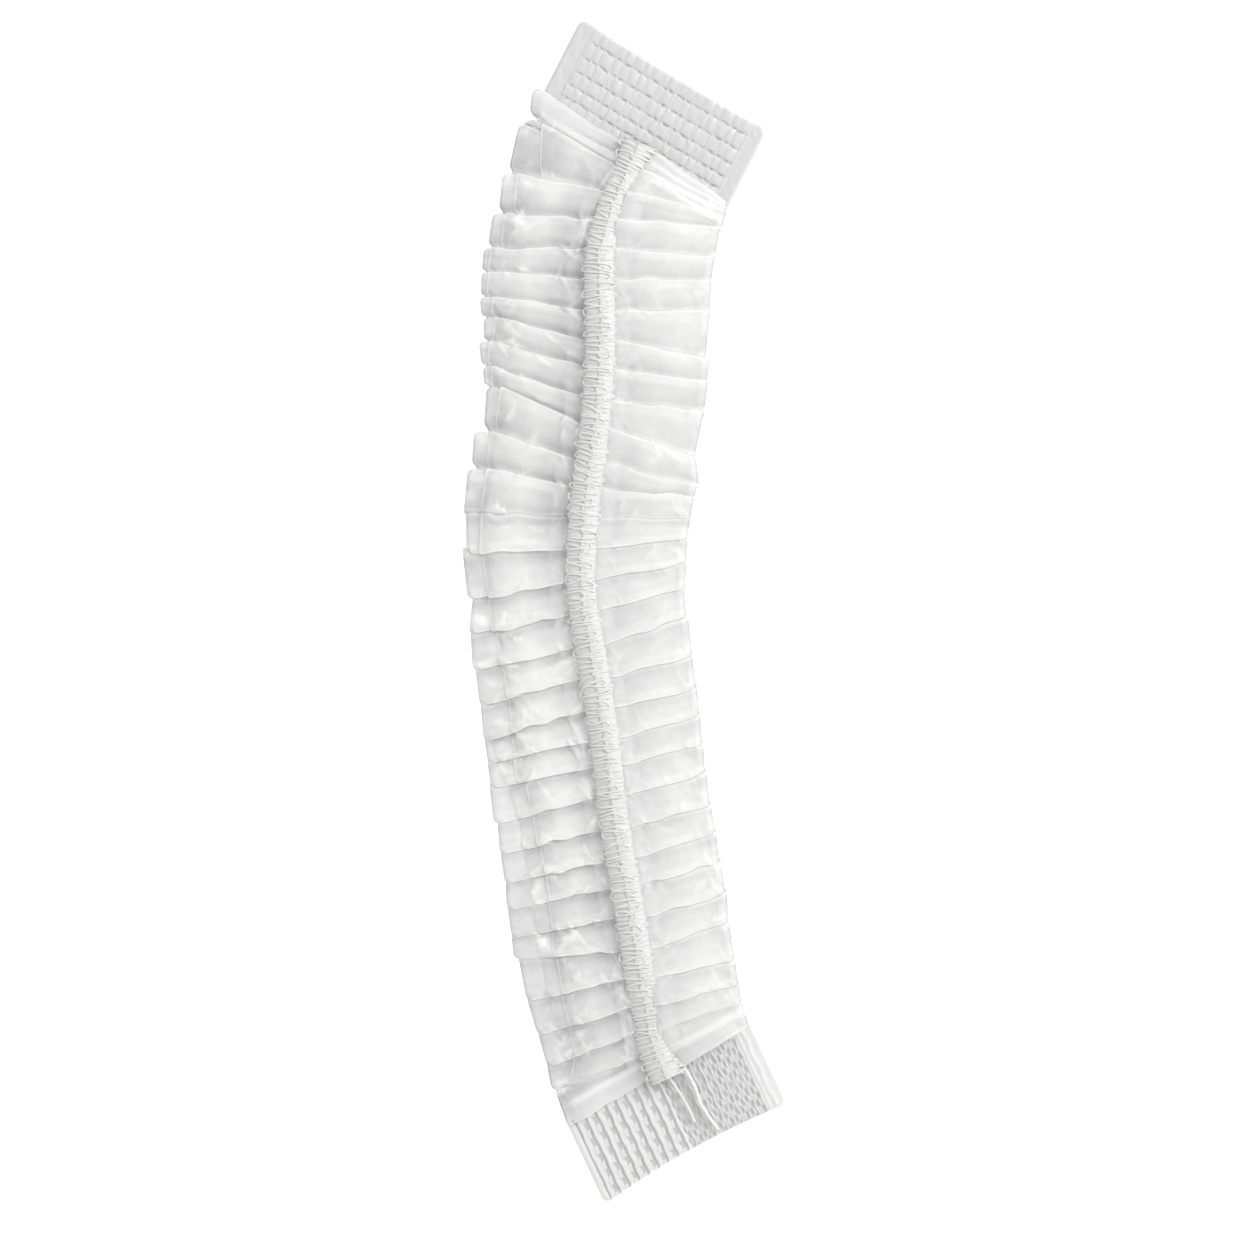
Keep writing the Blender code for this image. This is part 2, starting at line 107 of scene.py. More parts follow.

# %% [markdown]
# The pleats are the main form. Each is a knife pleat: the film runs down a band, tucks under the next
# band's raised edge, turns and comes back up to that edge. Above the turn the raised edge is the upper one,
# and below it the lower one. The table has a row for each fold line, read from the photograph: where
# it meets the hem and each side, how high the band below it stands, and where that band ends at its upper
# and its lower corner. "Rim" is the outline, where the lowest layer folds, and "edge" is where the top
# layer folds.

# %% The table of folds
Fold = namedtuple("Fold", "hem_y left_y right_y crest rim_up rim_down edge_up edge_down right_up right_down")
FOLDS = (
    Fold(146, 83, 202, 0.30, 541, 537, 533, 529, 728, 727),
    Fold(157, 114, 208, 0.60, 531, 524, 532, 538, 727, 727),
    Fold(167, 122, 212, 0.35, 520, 508, 541, 539, 727, 726),
    Fold(192, 174, 217, 0.95, 503, 499, 516, 513, 726, 723),
    Fold(220, 214, 227, 1.00, 493, 488, 504, 500, 721, 716),
    Fold(249, 249, 258, 0.90, 484, 482, 490, 487, 716, 712),
    Fold(280, 272, 279, 0.90, 482, 481, 488, 486, 712, 711),
    Fold(311, 296, 311, 1.00, 480, 482, 492, 491, 711, 706),
    Fold(341, 317, 359, 0.85, 484, 484, 494, 492, 710, 708),
    Fold(368, 342, 382, 0.90, 479, 482, 489, 487, 709, 705),
    Fold(400, 367, 412, 0.95, 483, 485, 492, 490, 705, 695),
    Fold(427, 387, 458, 1.00, 487, 484, 500, 494, 697, 700),
    Fold(461, 431, 487, 1.00, 474, 472, 490, 486, 698, 695),
    Fold(490, 468, 496, 1.00, 468, 464, 486, 480, 695, 691),
    Fold(517, 512, 518, 0.90, 466, 467, 481, 479, 691, 688),
    Fold(549, 553, 540, 1.00, 463, 468, 482, 488, 688, 687),
    Fold(580, 600, 563, 0.90, 473, 469, 488, 491, 687, 686),
    Fold(613, 635, 588, 1.00, 471, 473, 496, 500, 685, 687),
    Fold(646, 671, 617, 0.95, 476, 480, 502, 507, 689, 693),
    Fold(679, 705, 655, 1.00, 481, 484, 508, 511, 693, 697),
    Fold(709, 740, 688, 0.85, 485, 488, 511, 514, 698, 700),
    Fold(740, 763, 714, 0.85, 488, 491, 513, 517, 701, 703),
    Fold(767, 787, 744, 1.00, 490, 494, 525, 531, 704, 706),
    Fold(797, 823, 773, 0.95, 498, 500, 532, 537, 707, 711),
    Fold(829, 853, 804, 0.95, 501, 505, 539, 545, 712, 716),
    Fold(859, 885, 832, 0.90, 506, 507, 545, 549, 717, 720),
    Fold(886, 909, 862, 0.90, 508, 512, 548, 552, 722, 726),
    Fold(918, 938, 893, 0.80, 512, 514, 551, 553, 728, 729),
    Fold(951, 958, 922, 0.95, 519, 527, 556, 562, 730, 735),
    Fold(978, 1000, 960, 0.90, 528, 538, 561, 569, 736, 739),
    Fold(1006, 1037, 985, 0.80, 539, 548, 568, 576, 740, 742),
    Fold(1031, 1068, 1002, 0.60, 548, 553, 574, 568, 743, 745),
    Fold(1055, 1093, 1013, 0.30, 558, 572, 556, 568, 746, 750),
    Fold(1075, 1127, 1025, 0.30, 572, 572, 570, 570, 750, 750),
)
TURN_FOLD = 14
LAST_BAND = len(FOLDS) - 2
print(len(FOLDS), "folds,", LAST_BAND + 1, "bands")

# %% [markdown]
# A place on a band needs two numbers. `line` counts fold lines from the upper end, so 3.5 is half way down
# the band below fold 3. `reach` goes from the hem, at 0, to the side fold, at 1. The functions below turn
# them into metres. Each band ends at its own corners, so the outline steps from band to band as the
# photograph's does.

# %% From fold lines to metres
SLIT = 1.7 * MM              # from the hem line to where the film comes out from under a hem
LINES = np.arange(len(FOLDS))
SIDE_NAMES = {-1: ("edge_up", "edge_down"), 1: ("right_up", "right_down")}
RIM_NAMES = {-1: ("rim_up", "rim_down"), 1: ("right_up", "right_down")}
COLUMNS = {name: np.array([getattr(fold, name) for fold in FOLDS], float) for name in Fold._fields}
SIDE_Y = {-1: COLUMNS["left_y"], 1: COLUMNS["right_y"]}


def band_of(line):
    """The band that a fractional fold line lies on, and how far down it."""
    band = np.clip(np.floor(line), 0, LAST_BAND).astype(int)
    return band, line - band


def ease(value):
    """0 to 1 with soft ends."""
    value = np.clip(value, 0, 1)
    return value * value * (3 - 2 * value)


def hem_place(line, side):
    """Where a fold line comes out from under its hem."""
    py = np.interp(line, LINES, COLUMNS["hem_y"])
    return metres_x(spine_x(py)) + side * SLIT, metres_y(py)


def side_place(line, side):
    """Where a fold line ends at the outer edge of the top layer."""
    band, along = band_of(line)
    up, down = SIDE_NAMES[side]
    px = COLUMNS[up][band] * (1 - along) + COLUMNS[down][band] * along
    return metres_x(px), metres_y(np.interp(line, LINES, SIDE_Y[side]))


print("The turn meets the left hem at mm", [float(np.round(v / MM, 1)) for v in hem_place(TURN_FOLD, -1)])

# %% [markdown]
# Thin film does not bend smoothly everywhere. Where it is crumpled it makes small flat facets with sharp
# creases between them. A height map made of triangles gives this look: random heights on a lattice of
# triangles, joined by flat faces. The lattice is bent first, so that no straight rows show. The random
# heights come from one table with a fixed seed.

# %% Facets of crumpled film
HASH_SIZE = 64
HASH = np.random.default_rng(7).uniform(-1, 1, (HASH_SIZE, HASH_SIZE))
BEND = 0.35                  # how far the rows of the lattice are bent, in facets
TRIANGLE = 1.1547            # an even triangle is as much wider than it is high


def lattice(i, j):
    """The random height of a corner of the lattice."""
    return HASH[np.asarray(i) % HASH_SIZE, np.asarray(j) % HASH_SIZE]


def cell_random(i, j, seed):
    """A random number from -1 to 1 for a cell of a pattern."""
    i, j = np.asarray(i).astype(int), np.asarray(j).astype(int)
    return lattice(i * 7 + seed, j * 5 + 3 * seed)


def facets(x, y, size, seed):
    """Heights from -1 to 1 of a crumpled sheet with facets of about a size, in metres."""
    x = np.asarray(x) / size + seed * 3.7
    y = np.asarray(y) / size + seed * 9.1
    x, y = x + BEND * np.sin(2.3 * y + seed), y + BEND * np.sin(1.9 * x - seed)
    y = y * TRIANGLE
    x = x + y / 2
    i, j = np.floor(x).astype(int), np.floor(y).astype(int)
    s, t = x - i, y - j
    lower = (1 - s) * lattice(i, j) + (s - t) * lattice(i + 1, j) + t * lattice(i + 1, j + 1)
    upper = (1 - t) * lattice(i, j) + (t - s) * lattice(i, j + 1) + s * lattice(i + 1, j + 1)
    return np.where(s > t, lower, upper)


print("A table of", HASH.size, "random heights")

# %% [markdown]
# The stack of layers is about seven millimetres high in the middle and thins towards the welds. Each height
# below is that of a layer in its valleys. The two end flaps come down onto the welds, so the top layer has
# its own rule.

# %% Heights of the layers
TOP_LEVEL = 5.1 * MM
RUFFLE = 2.1 * MM            # from a valley of the top layer to its ridge
FLAP_LEVEL = 1.75 * MM       # the top layer where it lies on a weld
TAPER = 20 * MM              # length over which the stack comes down to an end
END_ROWS = (110, 1100)
END_Y = [float(metres_y(py)) for py in END_ROWS]


def thinning(y):
    """0 at the ends of the film and 1 where the stack has its full height."""
    return ease(np.minimum(END_Y[0] - y, y - END_Y[1]) / TAPER)


print("Top layer from", FLAP_LEVEL / MM, "mm on the welds to",
      round((TOP_LEVEL + RUFFLE) / MM, 1), "mm at its ridges")

# %% [markdown]
# One pleat, seen from its end, is a list of rows. Each row says how far it lies from the ridge towards the
# valley, in bands, and how high, from 0 to 1. The front of the band comes first, then the tuck under the
# next ridge, then the way back up to it. The rows are close together at the ridge, where the film turns. A
# layer that lies inside another has its ridge a little further in, which `lag` gives. At the turn two bands
# lean away from each other, so neither tucks under the other: there each ends in a low rounded edge, and
# the two edges meet in a shallow groove.

# %% The profile of a pleat
TUCK = 0.14                  # how far a band runs on under the next ridge, in bands
FRONT = (0.0, 0.02, 0.05, 0.09, 0.15, 0.22, 0.30, 0.39, 0.48, 0.57, 0.66, 0.75, 0.84, 0.92, 1.00, 1.07)
TUCK_ROWS = ((0.96, 0.10, 0.2), (0.66, 0.48, 0.5), (0.33, 0.78, 0.8), (0.05, 0.93, 1.0), (-0.14, 0.97, 1.0))
TURN_EDGE = ((0.80, 0.34), (0.88, 0.32), (0.94, 0.27), (0.98, 0.17), (1.03, 0.06))
Row = namedtuple("Row", "way height part")


def pleat_rows(lag):
    """The rows of one pleat, from its ridge through the tuck and back up to the next ridge."""
    end = 1 + TUCK
    rows = []
    for way in FRONT:
        rows.append(Row(lag + way * (end - lag) / end, 0.5 + 0.5 * math.cos(math.pi * way / end), 0.0))
    rows.append(Row(end, 0.0, 0.0))
    return rows + [Row(1 + TUCK * share + lag, height, part) for share, height, part in TUCK_ROWS]


print(len(pleat_rows(0.0)), "rows in a pleat")

# %% [markdown]
# A layer joins these pleats into one sheet. From the upper end to the turn the pleats are taken as they
# are, and below it they are mirrored. Each row keeps the number of its band and of the next one, because a
# row in a tuck ends at the side half way between the corners of both. Above the turn the tabs at the side
# stand level with the ridges' ends. In the lower part the photograph shows each ridge as one straight line
# through all the layers.

# %% All the rows of a layer
Rows = namedtuple("Rows", "line band height part way lean neighbour")
STRAIGHT_FROM = 15           # the fold line from which on the ridges run straight to the rim
STRAIGHT_OVER = 4


def film_rows(lag=0.0):
    """Columns of numbers, one for each row of a layer of film from the upper end to the lower."""
    rows = []
    for band in range(LAST_BAND + 1):
        lean = 1 if band < TURN_FOLD else -1
        pleat = pleat_rows(lag)
        if band in (TURN_FOLD - 1, TURN_FOLD):
            pleat = [row for row in pleat if row.way < TURN_EDGE[0][0]]
            pleat += [Row(way, height, 0.0) for way, height in TURN_EDGE]
        if lean < 0:
            pleat.reverse()
        neighbour = min(max(band + lean, 0), LAST_BAND)
        for row in pleat:
            line = band + row.way if lean > 0 else band + 1 - row.way
            rows.append((line, band, row.height, row.part, abs(row.way - round(row.part)), lean, neighbour))
    rows.append((LAST_BAND + 1, LAST_BAND, 1.0, 0.0, 0.0, -1, LAST_BAND))
    made = Rows(*[np.array(values, float)[:, None] for values in zip(*rows)])
    return made._replace(band=made.band.astype(int), neighbour=made.neighbour.astype(int))


def corner_x(rows, names):
    """The X where each row of film ends at a side, from the two corner columns of its band."""
    up, down = names
    share = np.clip(rows.line - rows.band, 0, 1)
    own = COLUMNS[up][rows.band] * (1 - share) + COLUMNS[down][rows.band] * share
    near = np.where(rows.lean > 0, COLUMNS[up][rows.neighbour], COLUMNS[down][rows.neighbour])
    return metres_x(own * (1 - rows.part) + near * rows.part)


def end_place(rows, side, x):
    """The Y where each row ends if it ends at x: level with the rim above the turn, in line with it below."""
    rim_x = corner_x(rows, RIM_NAMES[side])
    hem_x, hem_y = hem_place(rows.line, side)
    rim_y = metres_y(np.interp(rows.line, LINES, SIDE_Y[side]))
    short = (rim_x - x) / (rim_x - hem_x)
    return rim_y + (hem_y - rim_y) * short * ease((rows.line - STRAIGHT_FROM) / STRAIGHT_OVER)


print("A layer has", len(film_rows().line), "rows")

# %% [markdown]
# Near the hems the film is pulled into many small gathers, and at the sides it is creased. The creases come
# first. Each has a random place, direction, length and height, most of them near the hem or the side. The
# seed is fixed, so every run draws the same ones.

# %% Short creases
CREASES = 260
CREASE_PLACES = ((0.02, 0.28), (0.02, 0.28), (0.3, 0.8), (0.80, 0.99), (0.82, 1.0))
OUTERMOST = 0.9
CREASE_OUT = 0.2             # how much further out the outermost creases lie at the left side
CREASE_ANGLE = (0.2, 1.2)
CREASE_LENGTH = (1.2, 3.4)   # millimetres, as the next three
CREASE_HEIGHT = (0.15, 0.42)
GENTLE_SLOPE = (0.8, 1.8)
STEEP_SLOPE = 0.30
MOST_CREASE = 0.5 * MM
CREASED = {-1: 1.0, 1: 0.36}    # how strong the creases of each side are


def creases(x, y, side):
    """Short sharp creases: each is a small facet that rises slowly to its crest and drops off behind it."""
    random = np.random.default_rng(31 + side)
    height = np.zeros(np.broadcast(x, y).shape)
    for _ in range(CREASES):
        line = random.uniform(1, LAST_BAND)
        reach = random.uniform(*CREASE_PLACES[random.integers(len(CREASE_PLACES))])
        reach = reach + CREASE_OUT * (side < 0) * (reach > OUTERMOST)
        hem_x, hem_y = hem_place(line, side)
        out_x, out_y = side_place(np.array(line), side)
        from_x, from_y = x - (hem_x + (out_x - hem_x) * reach), y - (hem_y + (out_y - hem_y) * reach)
        angle = random.uniform(*CREASE_ANGLE) * random.choice((-1, 1)) + (math.pi / 2 if reach < 0.3 else 0)
        length, gentle = random.uniform(*CREASE_LENGTH) * MM, random.uniform(*GENTLE_SLOPE) * MM
        along = from_x * math.cos(angle) + from_y * math.sin(angle)
        across = from_y * math.cos(angle) - from_x * math.sin(angle)
        ends = np.clip(1 - np.abs(along) / length, 0, 1)
        steep, slow = 1 - across / (STEEP_SLOPE * MM), 1 + across / (gentle * np.maximum(ends, 0.05))
        rise = np.where(across > 0, steep, slow)
        height += np.clip(rise, 0, 1) * np.clip(ends * 2, 0, 1) * random.uniform(*CREASE_HEIGHT) * MM
    return np.minimum(height, MOST_CREASE) * CREASED[side]


print(CREASES, "creases on each side")

# %% [markdown]
# `crumple` adds facets and gathers to the creases. Facets of three sizes lie on top of each other, and a
# table has a row for each. A size and a height are in millimetres. `squeeze` makes the facets longer across
# the strip, and the last three columns say how strong they are everywhere, and how much stronger at the hem
# and at the side. The gathers are fine waves that run out from the hem and fade. A second function makes
# the longer wrinkles, which run along the pleats.

# %% Facets, gathers and wrinkles
Crumple = namedtuple("Crumple", "size squeeze height seed everywhere at_hem at_side")
CRUMPLES = (
    Crumple(7.0, 0.6, 0.36, 3, 1.0, 0.0, 0.0),
    Crumple(3.2, 0.7, 0.42, 5, 0.30, 1.0, 0.8),
    Crumple(1.5, 1.0, 0.22, 8, 0.24, 1.3, 0.8),
)
HEM_REACH = 0.30             # how far out from the hem its crumpling goes
SIDE_REACH = 0.72            # where the crumpling at the side starts
GATHER = 1.25 * MM           # from one fine gather to the next
GATHER_DRIFT = 3.1 * MM
GATHER_HEIGHT = 0.12
CRUMPLED = {-1: 1.10, 1: 0.60}    # how strong all of this is on each side
Wrinkle = namedtuple("Wrinkle", "count seed height")
WRINKLES = (Wrinkle(9, 13, 0.20), Wrinkle(4, 17, 0.16), Wrinkle(7, 19, 0.05))    # in a band, and millimetres
WRINKLE_REACH = 0.45         # how far out the wrinkles at the hem go


def crumple(x, y, reach, side):
    """Height that crumpling adds to a layer, in metres."""
    near_hem = np.clip(1 - reach / HEM_REACH, 0, 1)
    near_side = np.clip((reach - SIDE_REACH) / (1 - SIDE_REACH), 0, 1)
    fine = 0
    for row in CRUMPLES:
        share = row.everywhere + np.maximum(row.at_hem * near_hem, row.at_side * near_side)
        fine = fine + facets(x * row.squeeze, y, row.size * MM, row.seed + side) * row.height * MM * share
    wave = np.sin(2 * math.pi * y / GATHER + 2.5 * np.sin(y / GATHER_DRIFT))
    fine = (fine + wave * near_hem ** 2 * GATHER_HEIGHT * MM) * CRUMPLED[side]
    return fine + creases(x, y, side)


def long_wrinkles(line, reach, side):
    """Height of the wrinkles along the pleats: many at the hem, fewer further out, a few all over."""
    near = np.clip(1 - reach / WRINKLE_REACH, 0, 1) ** 1.5
    far = np.clip(reach * 3, 0, 1) * np.clip(1.15 - reach, 0, 1)
    height = 0
    for row, share in zip(WRINKLES, (near, far, 1.0)):
        place = line * row.count + 0.35 * np.sin(5 * reach + 1.7 * line) + row.seed
        knot = np.floor(place)
        first, last = (cell_random(knot + step, 3, row.seed + side) for step in (0, 1))
        height = height + (first + (last - first) * (place - knot)) * share * row.height
    return height * MM


print(len(CRUMPLES), "sizes of facets and", len(WRINKLES), "kinds of wrinkles")

# %% [markdown]
# Two more things make the pleats uneven. The fold lines stray a little from straight, and the ruffles stand
# up more in the middle of a side than at its ends. `ruffled` puts all of this together: it gives the height
# of the top layer over any place, and the layers below use it too, so that they nest.

# %% The surface of the ruffles
RISE_REACH = (0.0, 0.10, 0.30, 0.66, 0.93, 1.0)
RISE = {-1: (0.30, 0.38, 0.40, 0.37, 0.34, 0.32), 1: (0.34, 0.34, 0.28, 0.23, 0.20, 0.18)}
SINK = {-1: (0.0, 0.1, 0.3, 0.1, 0.1, 0.3), 1: (-0.9, -0.9, -0.8, -0.3, 0.4, 0.9)}    # millimetres
FLAT_RISE = 0.35             # share of the ruffles' height that is left on the welds
FLAT_CRUMPLE = 0.4           # and of the crumpling's
WANDER = 0.30 * MM


def wander(line, reach, side):
    """How far the fold lines stray from straight."""
    place = reach * 5 + 0 * line
    knot = np.floor(place)
    way = ease(place - knot)
    band = np.floor(line)

    def stray(fold):
        """The straying of one fold line."""
        first = cell_random(fold, knot, 11 + side)
        return first + (cell_random(fold, knot + 1, 11 + side) - first) * way

    share = ease(line - band)
    return (stray(band) * (1 - share) + stray(band + 1) * share) * WANDER


def ruffled(rows, x, y, reach, side):
    """Height of the top layer over each place of a grid."""
    crest = COLUMNS["crest"][rows.band] * (1 - rows.part) + COLUMNS["crest"][rows.neighbour] * rows.part
    rise = np.interp(reach, RISE_REACH, RISE[side])
    sink = np.interp(reach, RISE_REACH, SINK[side]) * MM
    full = thinning(y)
    level = FLAP_LEVEL + (TOP_LEVEL - FLAP_LEVEL) * full
    z = level - sink * full + rows.height * crest * rise * RUFFLE * (FLAT_RISE + (1 - FLAT_RISE) * full)
    fine = crumple(x, y, reach, side) + long_wrinkles(rows.line, reach, side)
    return z + fine * (FLAT_CRUMPLE + (1 - FLAT_CRUMPLE) * full)


# %% [markdown]
# The top layer is a plain grid of points, so NumPy works it out all at once. At the side it curls under by
# a millimetre or two, as a folded film does, and the corner of each band is rounded where its ridge ends.
# The first band on the left is a rolled flap, so its end is rounder.

# %% The top layer of one side
REACH_COLUMNS = 84
REACH_POWER = 0.85           # below 1, so the columns are a little closer together towards the side
REACH = np.linspace(0, 1, REACH_COLUMNS)[None, :] ** REACH_POWER
CURL_STEPS = 5
CURL_RADIUS = 0.06 * MM
CURL_BACK = np.array([[1.0, 2.0]]) * MM
CORNER = 0.45 * MM           # rounding of a band's corner at its ridge
RIM_CORNER = 1.0 * MM        # the same in the layers below
NOTCH_FROM = 0.80            # above the turn a left tab also pulls in at its valley, from here on in bands
FLAP_CORNER = 2.3 * MM       # the same on the first band, whose end is rolled
RIGHT_INSET = 0.1 * MM


def corner_inset(rows, side, corner):
    """How far a row stops short of the side, where a band's corner is rounded."""
    spacing = np.abs(SIDE_Y[side][rows.band + 1] - SIDE_Y[side][rows.band]) / PIXELS_PER_MM * MM
    from_ridge = np.clip(np.where(rows.part > 0.5, 0, rows.way), 0, 1) * spacing
    radius = np.where((rows.band == 0) & (side < 0), FLAP_CORNER, corner)
    short = np.clip(radius - from_ridge, 0, radius)
    notch = ease((rows.way - NOTCH_FROM) / (1 - NOTCH_FROM)) * (rows.part < 0.5) + (rows.part == 0.5)
    notched = (side < 0) & (rows.band < TURN_FOLD - 1)
    return radius - np.sqrt(radius ** 2 - short ** 2) + radius * notch * notched


def top_sheet(side):
    """Points of one side's top layer: rows along the strip, columns from the hem out and round the curl."""
    rows = film_rows()
    edge_x = corner_x(rows, SIDE_NAMES[side]) - RIGHT_INSET * (side > 0)
    edge_y = end_place(rows, side, edge_x)
    hem_x, hem_y = hem_place(rows.line, side)
    length = np.hypot(edge_x - hem_x, edge_y - hem_y)
    outer = 1 - (corner_inset(rows, side, CORNER) + CURL_RADIUS) / length
    x = hem_x + (edge_x - hem_x) * outer * REACH
    y = hem_y + (edge_y - hem_y) * outer * REACH
    z = ruffled(rows, x, y, REACH, side)
    y = y + wander(rows.line, REACH, side)
    turn = np.linspace(0, math.pi, CURL_STEPS)[None, 1:]
    out = np.concatenate([CURL_RADIUS * np.sin(turn), -CURL_BACK], 1)
    drop = np.concatenate([CURL_RADIUS * (1 - np.cos(turn)), np.full_like(CURL_BACK, 2 * CURL_RADIUS)], 1)
    x = np.concatenate([x, x[:, -1:] + (edge_x - hem_x) / length * out], 1)
    y = np.concatenate([y, y[:, -1:] + (edge_y - hem_y) / length * out], 1)
    z = np.concatenate([z, z[:, -1:] - drop], 1)
    return np.stack([x, y, z], -1)


# %% [markdown]
# A grid of points becomes a mesh with one face between each four neighbours. NumPy works out the corners of
# all the faces at once, and `from_pydata` takes the lists. The object stays at the origin: its place is in
# its points.

# %% From a grid of points to a mesh


def add_object(name, data):
    """An object at the origin, in the scene."""
    made = bpy.data.objects.new(name, data)
    bpy.context.scene.collection.objects.link(made)
    return made


def mesh_of(name, points, edges, faces):
    """A mesh from lists of points, edges and faces, shaded smooth."""
    mesh = bpy.data.meshes.new(name)
    mesh.from_pydata(points, edges, faces)
    mesh.shade_smooth()
    return mesh


def store(mesh, name, values):
    """Keep a number at each point of a mesh, for its material or its tree."""
    values = np.asarray(values).astype(np.float32).reshape(-1)
    mesh.attributes.new(name, "FLOAT", "POINT").data.foreach_set("value", values)


def grid_faces(rows, columns, flip=False, closed=False):
    """The faces between the points of a grid, which point up or, flipped, down."""
    index = np.arange(rows * columns).reshape(rows, columns)
    if closed:
        index = np.concatenate([index, index[:, :1]], 1)
    corners = [index[:-1, :-1], index[1:, :-1], index[1:, 1:], index[:-1, 1:]]
    if flip:
        corners.reverse()
    return np.stack(corners, -1).reshape(-1, 4).tolist()


def grid_mesh(name, points, flip=False, closed=False):
    """A mesh object from a grid of points, rows by columns."""
    faces = grid_faces(*points.shape[:2], flip, closed)
    return add_object(name, mesh_of(name, points.reshape(-1, 3).tolist(), [], faces))


def surface(piece):
    """The area of a piece's faces in square metres."""
    return sum(face.area for face in piece.data.polygons)


# %% [markdown]
# The film is not equally milky everywhere, and its tone also carries painted light and shade. Where it lies
# double behind a ridge it is whiter, and a painted highlight adds to that. Shade is painted in next to the
# hem, most of all on the left, where a band runs on under the next ridge, in the pockets beside the left
# hem and in the groove at the turn, and the left film is painted lighter and darker along its length. Where
# the next ridge lies on a band the film is double again, and it is painted lighter against the shade there.
# The crest of a fold gets a thin painted highlight and each crease a painted glint. The folds at the side
# get a thin painted line, bright on the left and dark on the right and on the welds, and the outline of the
# cap a thin painted dark one, because the film is seen there edge on. Each point of a layer stores this in
# an attribute for the material.

# %% How milky the film is, and its painted light and shade
TONE_REACH = (0.0, 0.10, 0.30, 0.60, 1.0)
# The tone from the hem out to the side, with painted shade next to the hem, most of all on the left.
TONE_AND_SHADE = {-1: (0.02, 0.17, 0.59, 0.86, 0.52), 1: (0.40, 0.50, 0.66, 0.82, 0.74)}
SHADE_LINES = (0, 2, 2.5, 3, 12, 18, 23, 27, 33)    # painted light and shade along the left film: at these fold lines
SHADE_ALONG = (0.0, -0.10, -0.32, -0.05, 0.0, 0.14, 0.08, -0.08, -0.08)
DOUBLED = 0.26               # share of a band behind its ridge where the film lies double
# The film is whiter where it lies double, and a painted highlight is added there.
DOUBLED_AND_HIGHLIGHT = 0.22
DOUBLED_SOFT = 0.16
TUCKED_FROM = 0.50           # from here on a band goes into the shade under the next ridge
# Painted shade under the next ridge, stronger on the left.
TUCKED_SHADE = {-1: -0.42, 1: -0.20}
DEEP_FROM = 0.86             # and from here on the next ridge lies on it: double again, and painted lighter
# Painted lighter against the shade of the crevice, where the film is double again.
DEEP_DOUBLE_AND_LIGHT = {-1: 0.80, 1: 0.85}
CREST = 0.03
# Painted highlight along the crest of each fold.
CREST_HIGHLIGHT = 0.35
POCKET_SHADE = -0.50          # painted shade in the pockets beside the left hem
POCKET_REACH = 0.55
POCKET_FROM = 0.62
POCKET_SOFT = 0.25
RECESS = 0.06                # half the width of the narrow gap at the turn, in bands
# Painted shade in that gap.
RECESS_SHADE = -0.10
FLAP_TONE = {-1: -0.12, 1: -0.40}    # where the film lies alone on the white ground, beside a weld
FLAP_REACH = 0.3
CREASE_GLINT = 1.4            # painted glint, per millimetre of a crease's height
# A thin painted line along the folds at the side: a highlight on the left, a dark line on the right.
EDGE_LIGHT_AND_SHADE = {-1: 0.80, 1: -0.70}
# A painted dark line along the rim, where the film turns down edge on.
RIM_SHADE = -0.70
EDGE_COLUMNS = 2


def band_tone(rows, x, y, reach, side):
    """How milky the film is over each place of a grid, with its painted light and shade."""
    tone = np.interp(reach, TONE_REACH, TONE_AND_SHADE[side])
    tone = tone + np.interp(rows.line, SHADE_LINES, SHADE_ALONG) * (side < 0)
    front = rows.part < 0.5
    doubled_and_lit = np.maximum(ease((DOUBLED - rows.way) / DOUBLED_SOFT + 0.5), rows.part > 0.5)
    tucked_shade = ease((rows.way - TUCKED_FROM) / (1 - TUCKED_FROM)) * front
    deep_double_and_light = ease((rows.way - DEEP_FROM) / (1 - DEEP_FROM)) * front
    tone = tone + DOUBLED_AND_HIGHLIGHT * doubled_and_lit + CREST_HIGHLIGHT * (rows.way < CREST)
    tone = tone + TUCKED_SHADE[side] * tucked_shade + DEEP_DOUBLE_AND_LIGHT[side] * deep_double_and_light
    pocket_shade = ease(1 - reach / POCKET_REACH) * ease((rows.way - POCKET_FROM) / POCKET_SOFT) * front
    tone = tone + POCKET_SHADE * pocket_shade * (side < 0) + CREASE_GLINT * creases(x, y, side) / MM
    tone = tone + RECESS_SHADE * (np.abs(rows.line - TURN_FOLD) < RECESS)
    return tone + FLAP_TONE[side] * (1 - thinning(y)) * ease((reach - FLAP_REACH) / 0.5)


def make_top(name, side):
    """The top layer of one side."""
    points = top_sheet(side)
    piece = grid_mesh(name, points, flip=side > 0)
    flat = points[:, :REACH.size]
    rows = film_rows()
    tone = band_tone(rows, flat[..., 0], flat[..., 1], REACH, side)
    # A thin painted line along the top layer's edge: a highlight on the left, a dark line on the right and
    # where a band lies on a weld.
    on_ground = (rows.band == 0) | (rows.band == LAST_BAND)
    tone[:, -EDGE_COLUMNS:] += np.where(on_ground, EDGE_LIGHT_AND_SHADE[1], EDGE_LIGHT_AND_SHADE[side])
    curl = np.repeat(tone[:, -1:], points.shape[1] - tone.shape[1], 1)
    store(piece.data, "milkiness", np.concatenate([tone, curl], 1))
    return piece


def report(*pieces):
    """Print how many faces pieces have, and their area."""
    for piece in pieces:
        print(piece.name, len(piece.data.polygons), "faces,", round(surface(piece) * 1e4, 1), "square cm")


left_top = make_top("left_top_film", -1)
right_top = make_top("right_top_film", 1)
report(left_top, right_top)

# %% [markdown]
# The layers below end beside the welds. A weld is a plate turned by its own angle, so the distance to it is
# taken along its own direction. A soft maximum packs the rows together as they come near it, which keeps
# them in order.

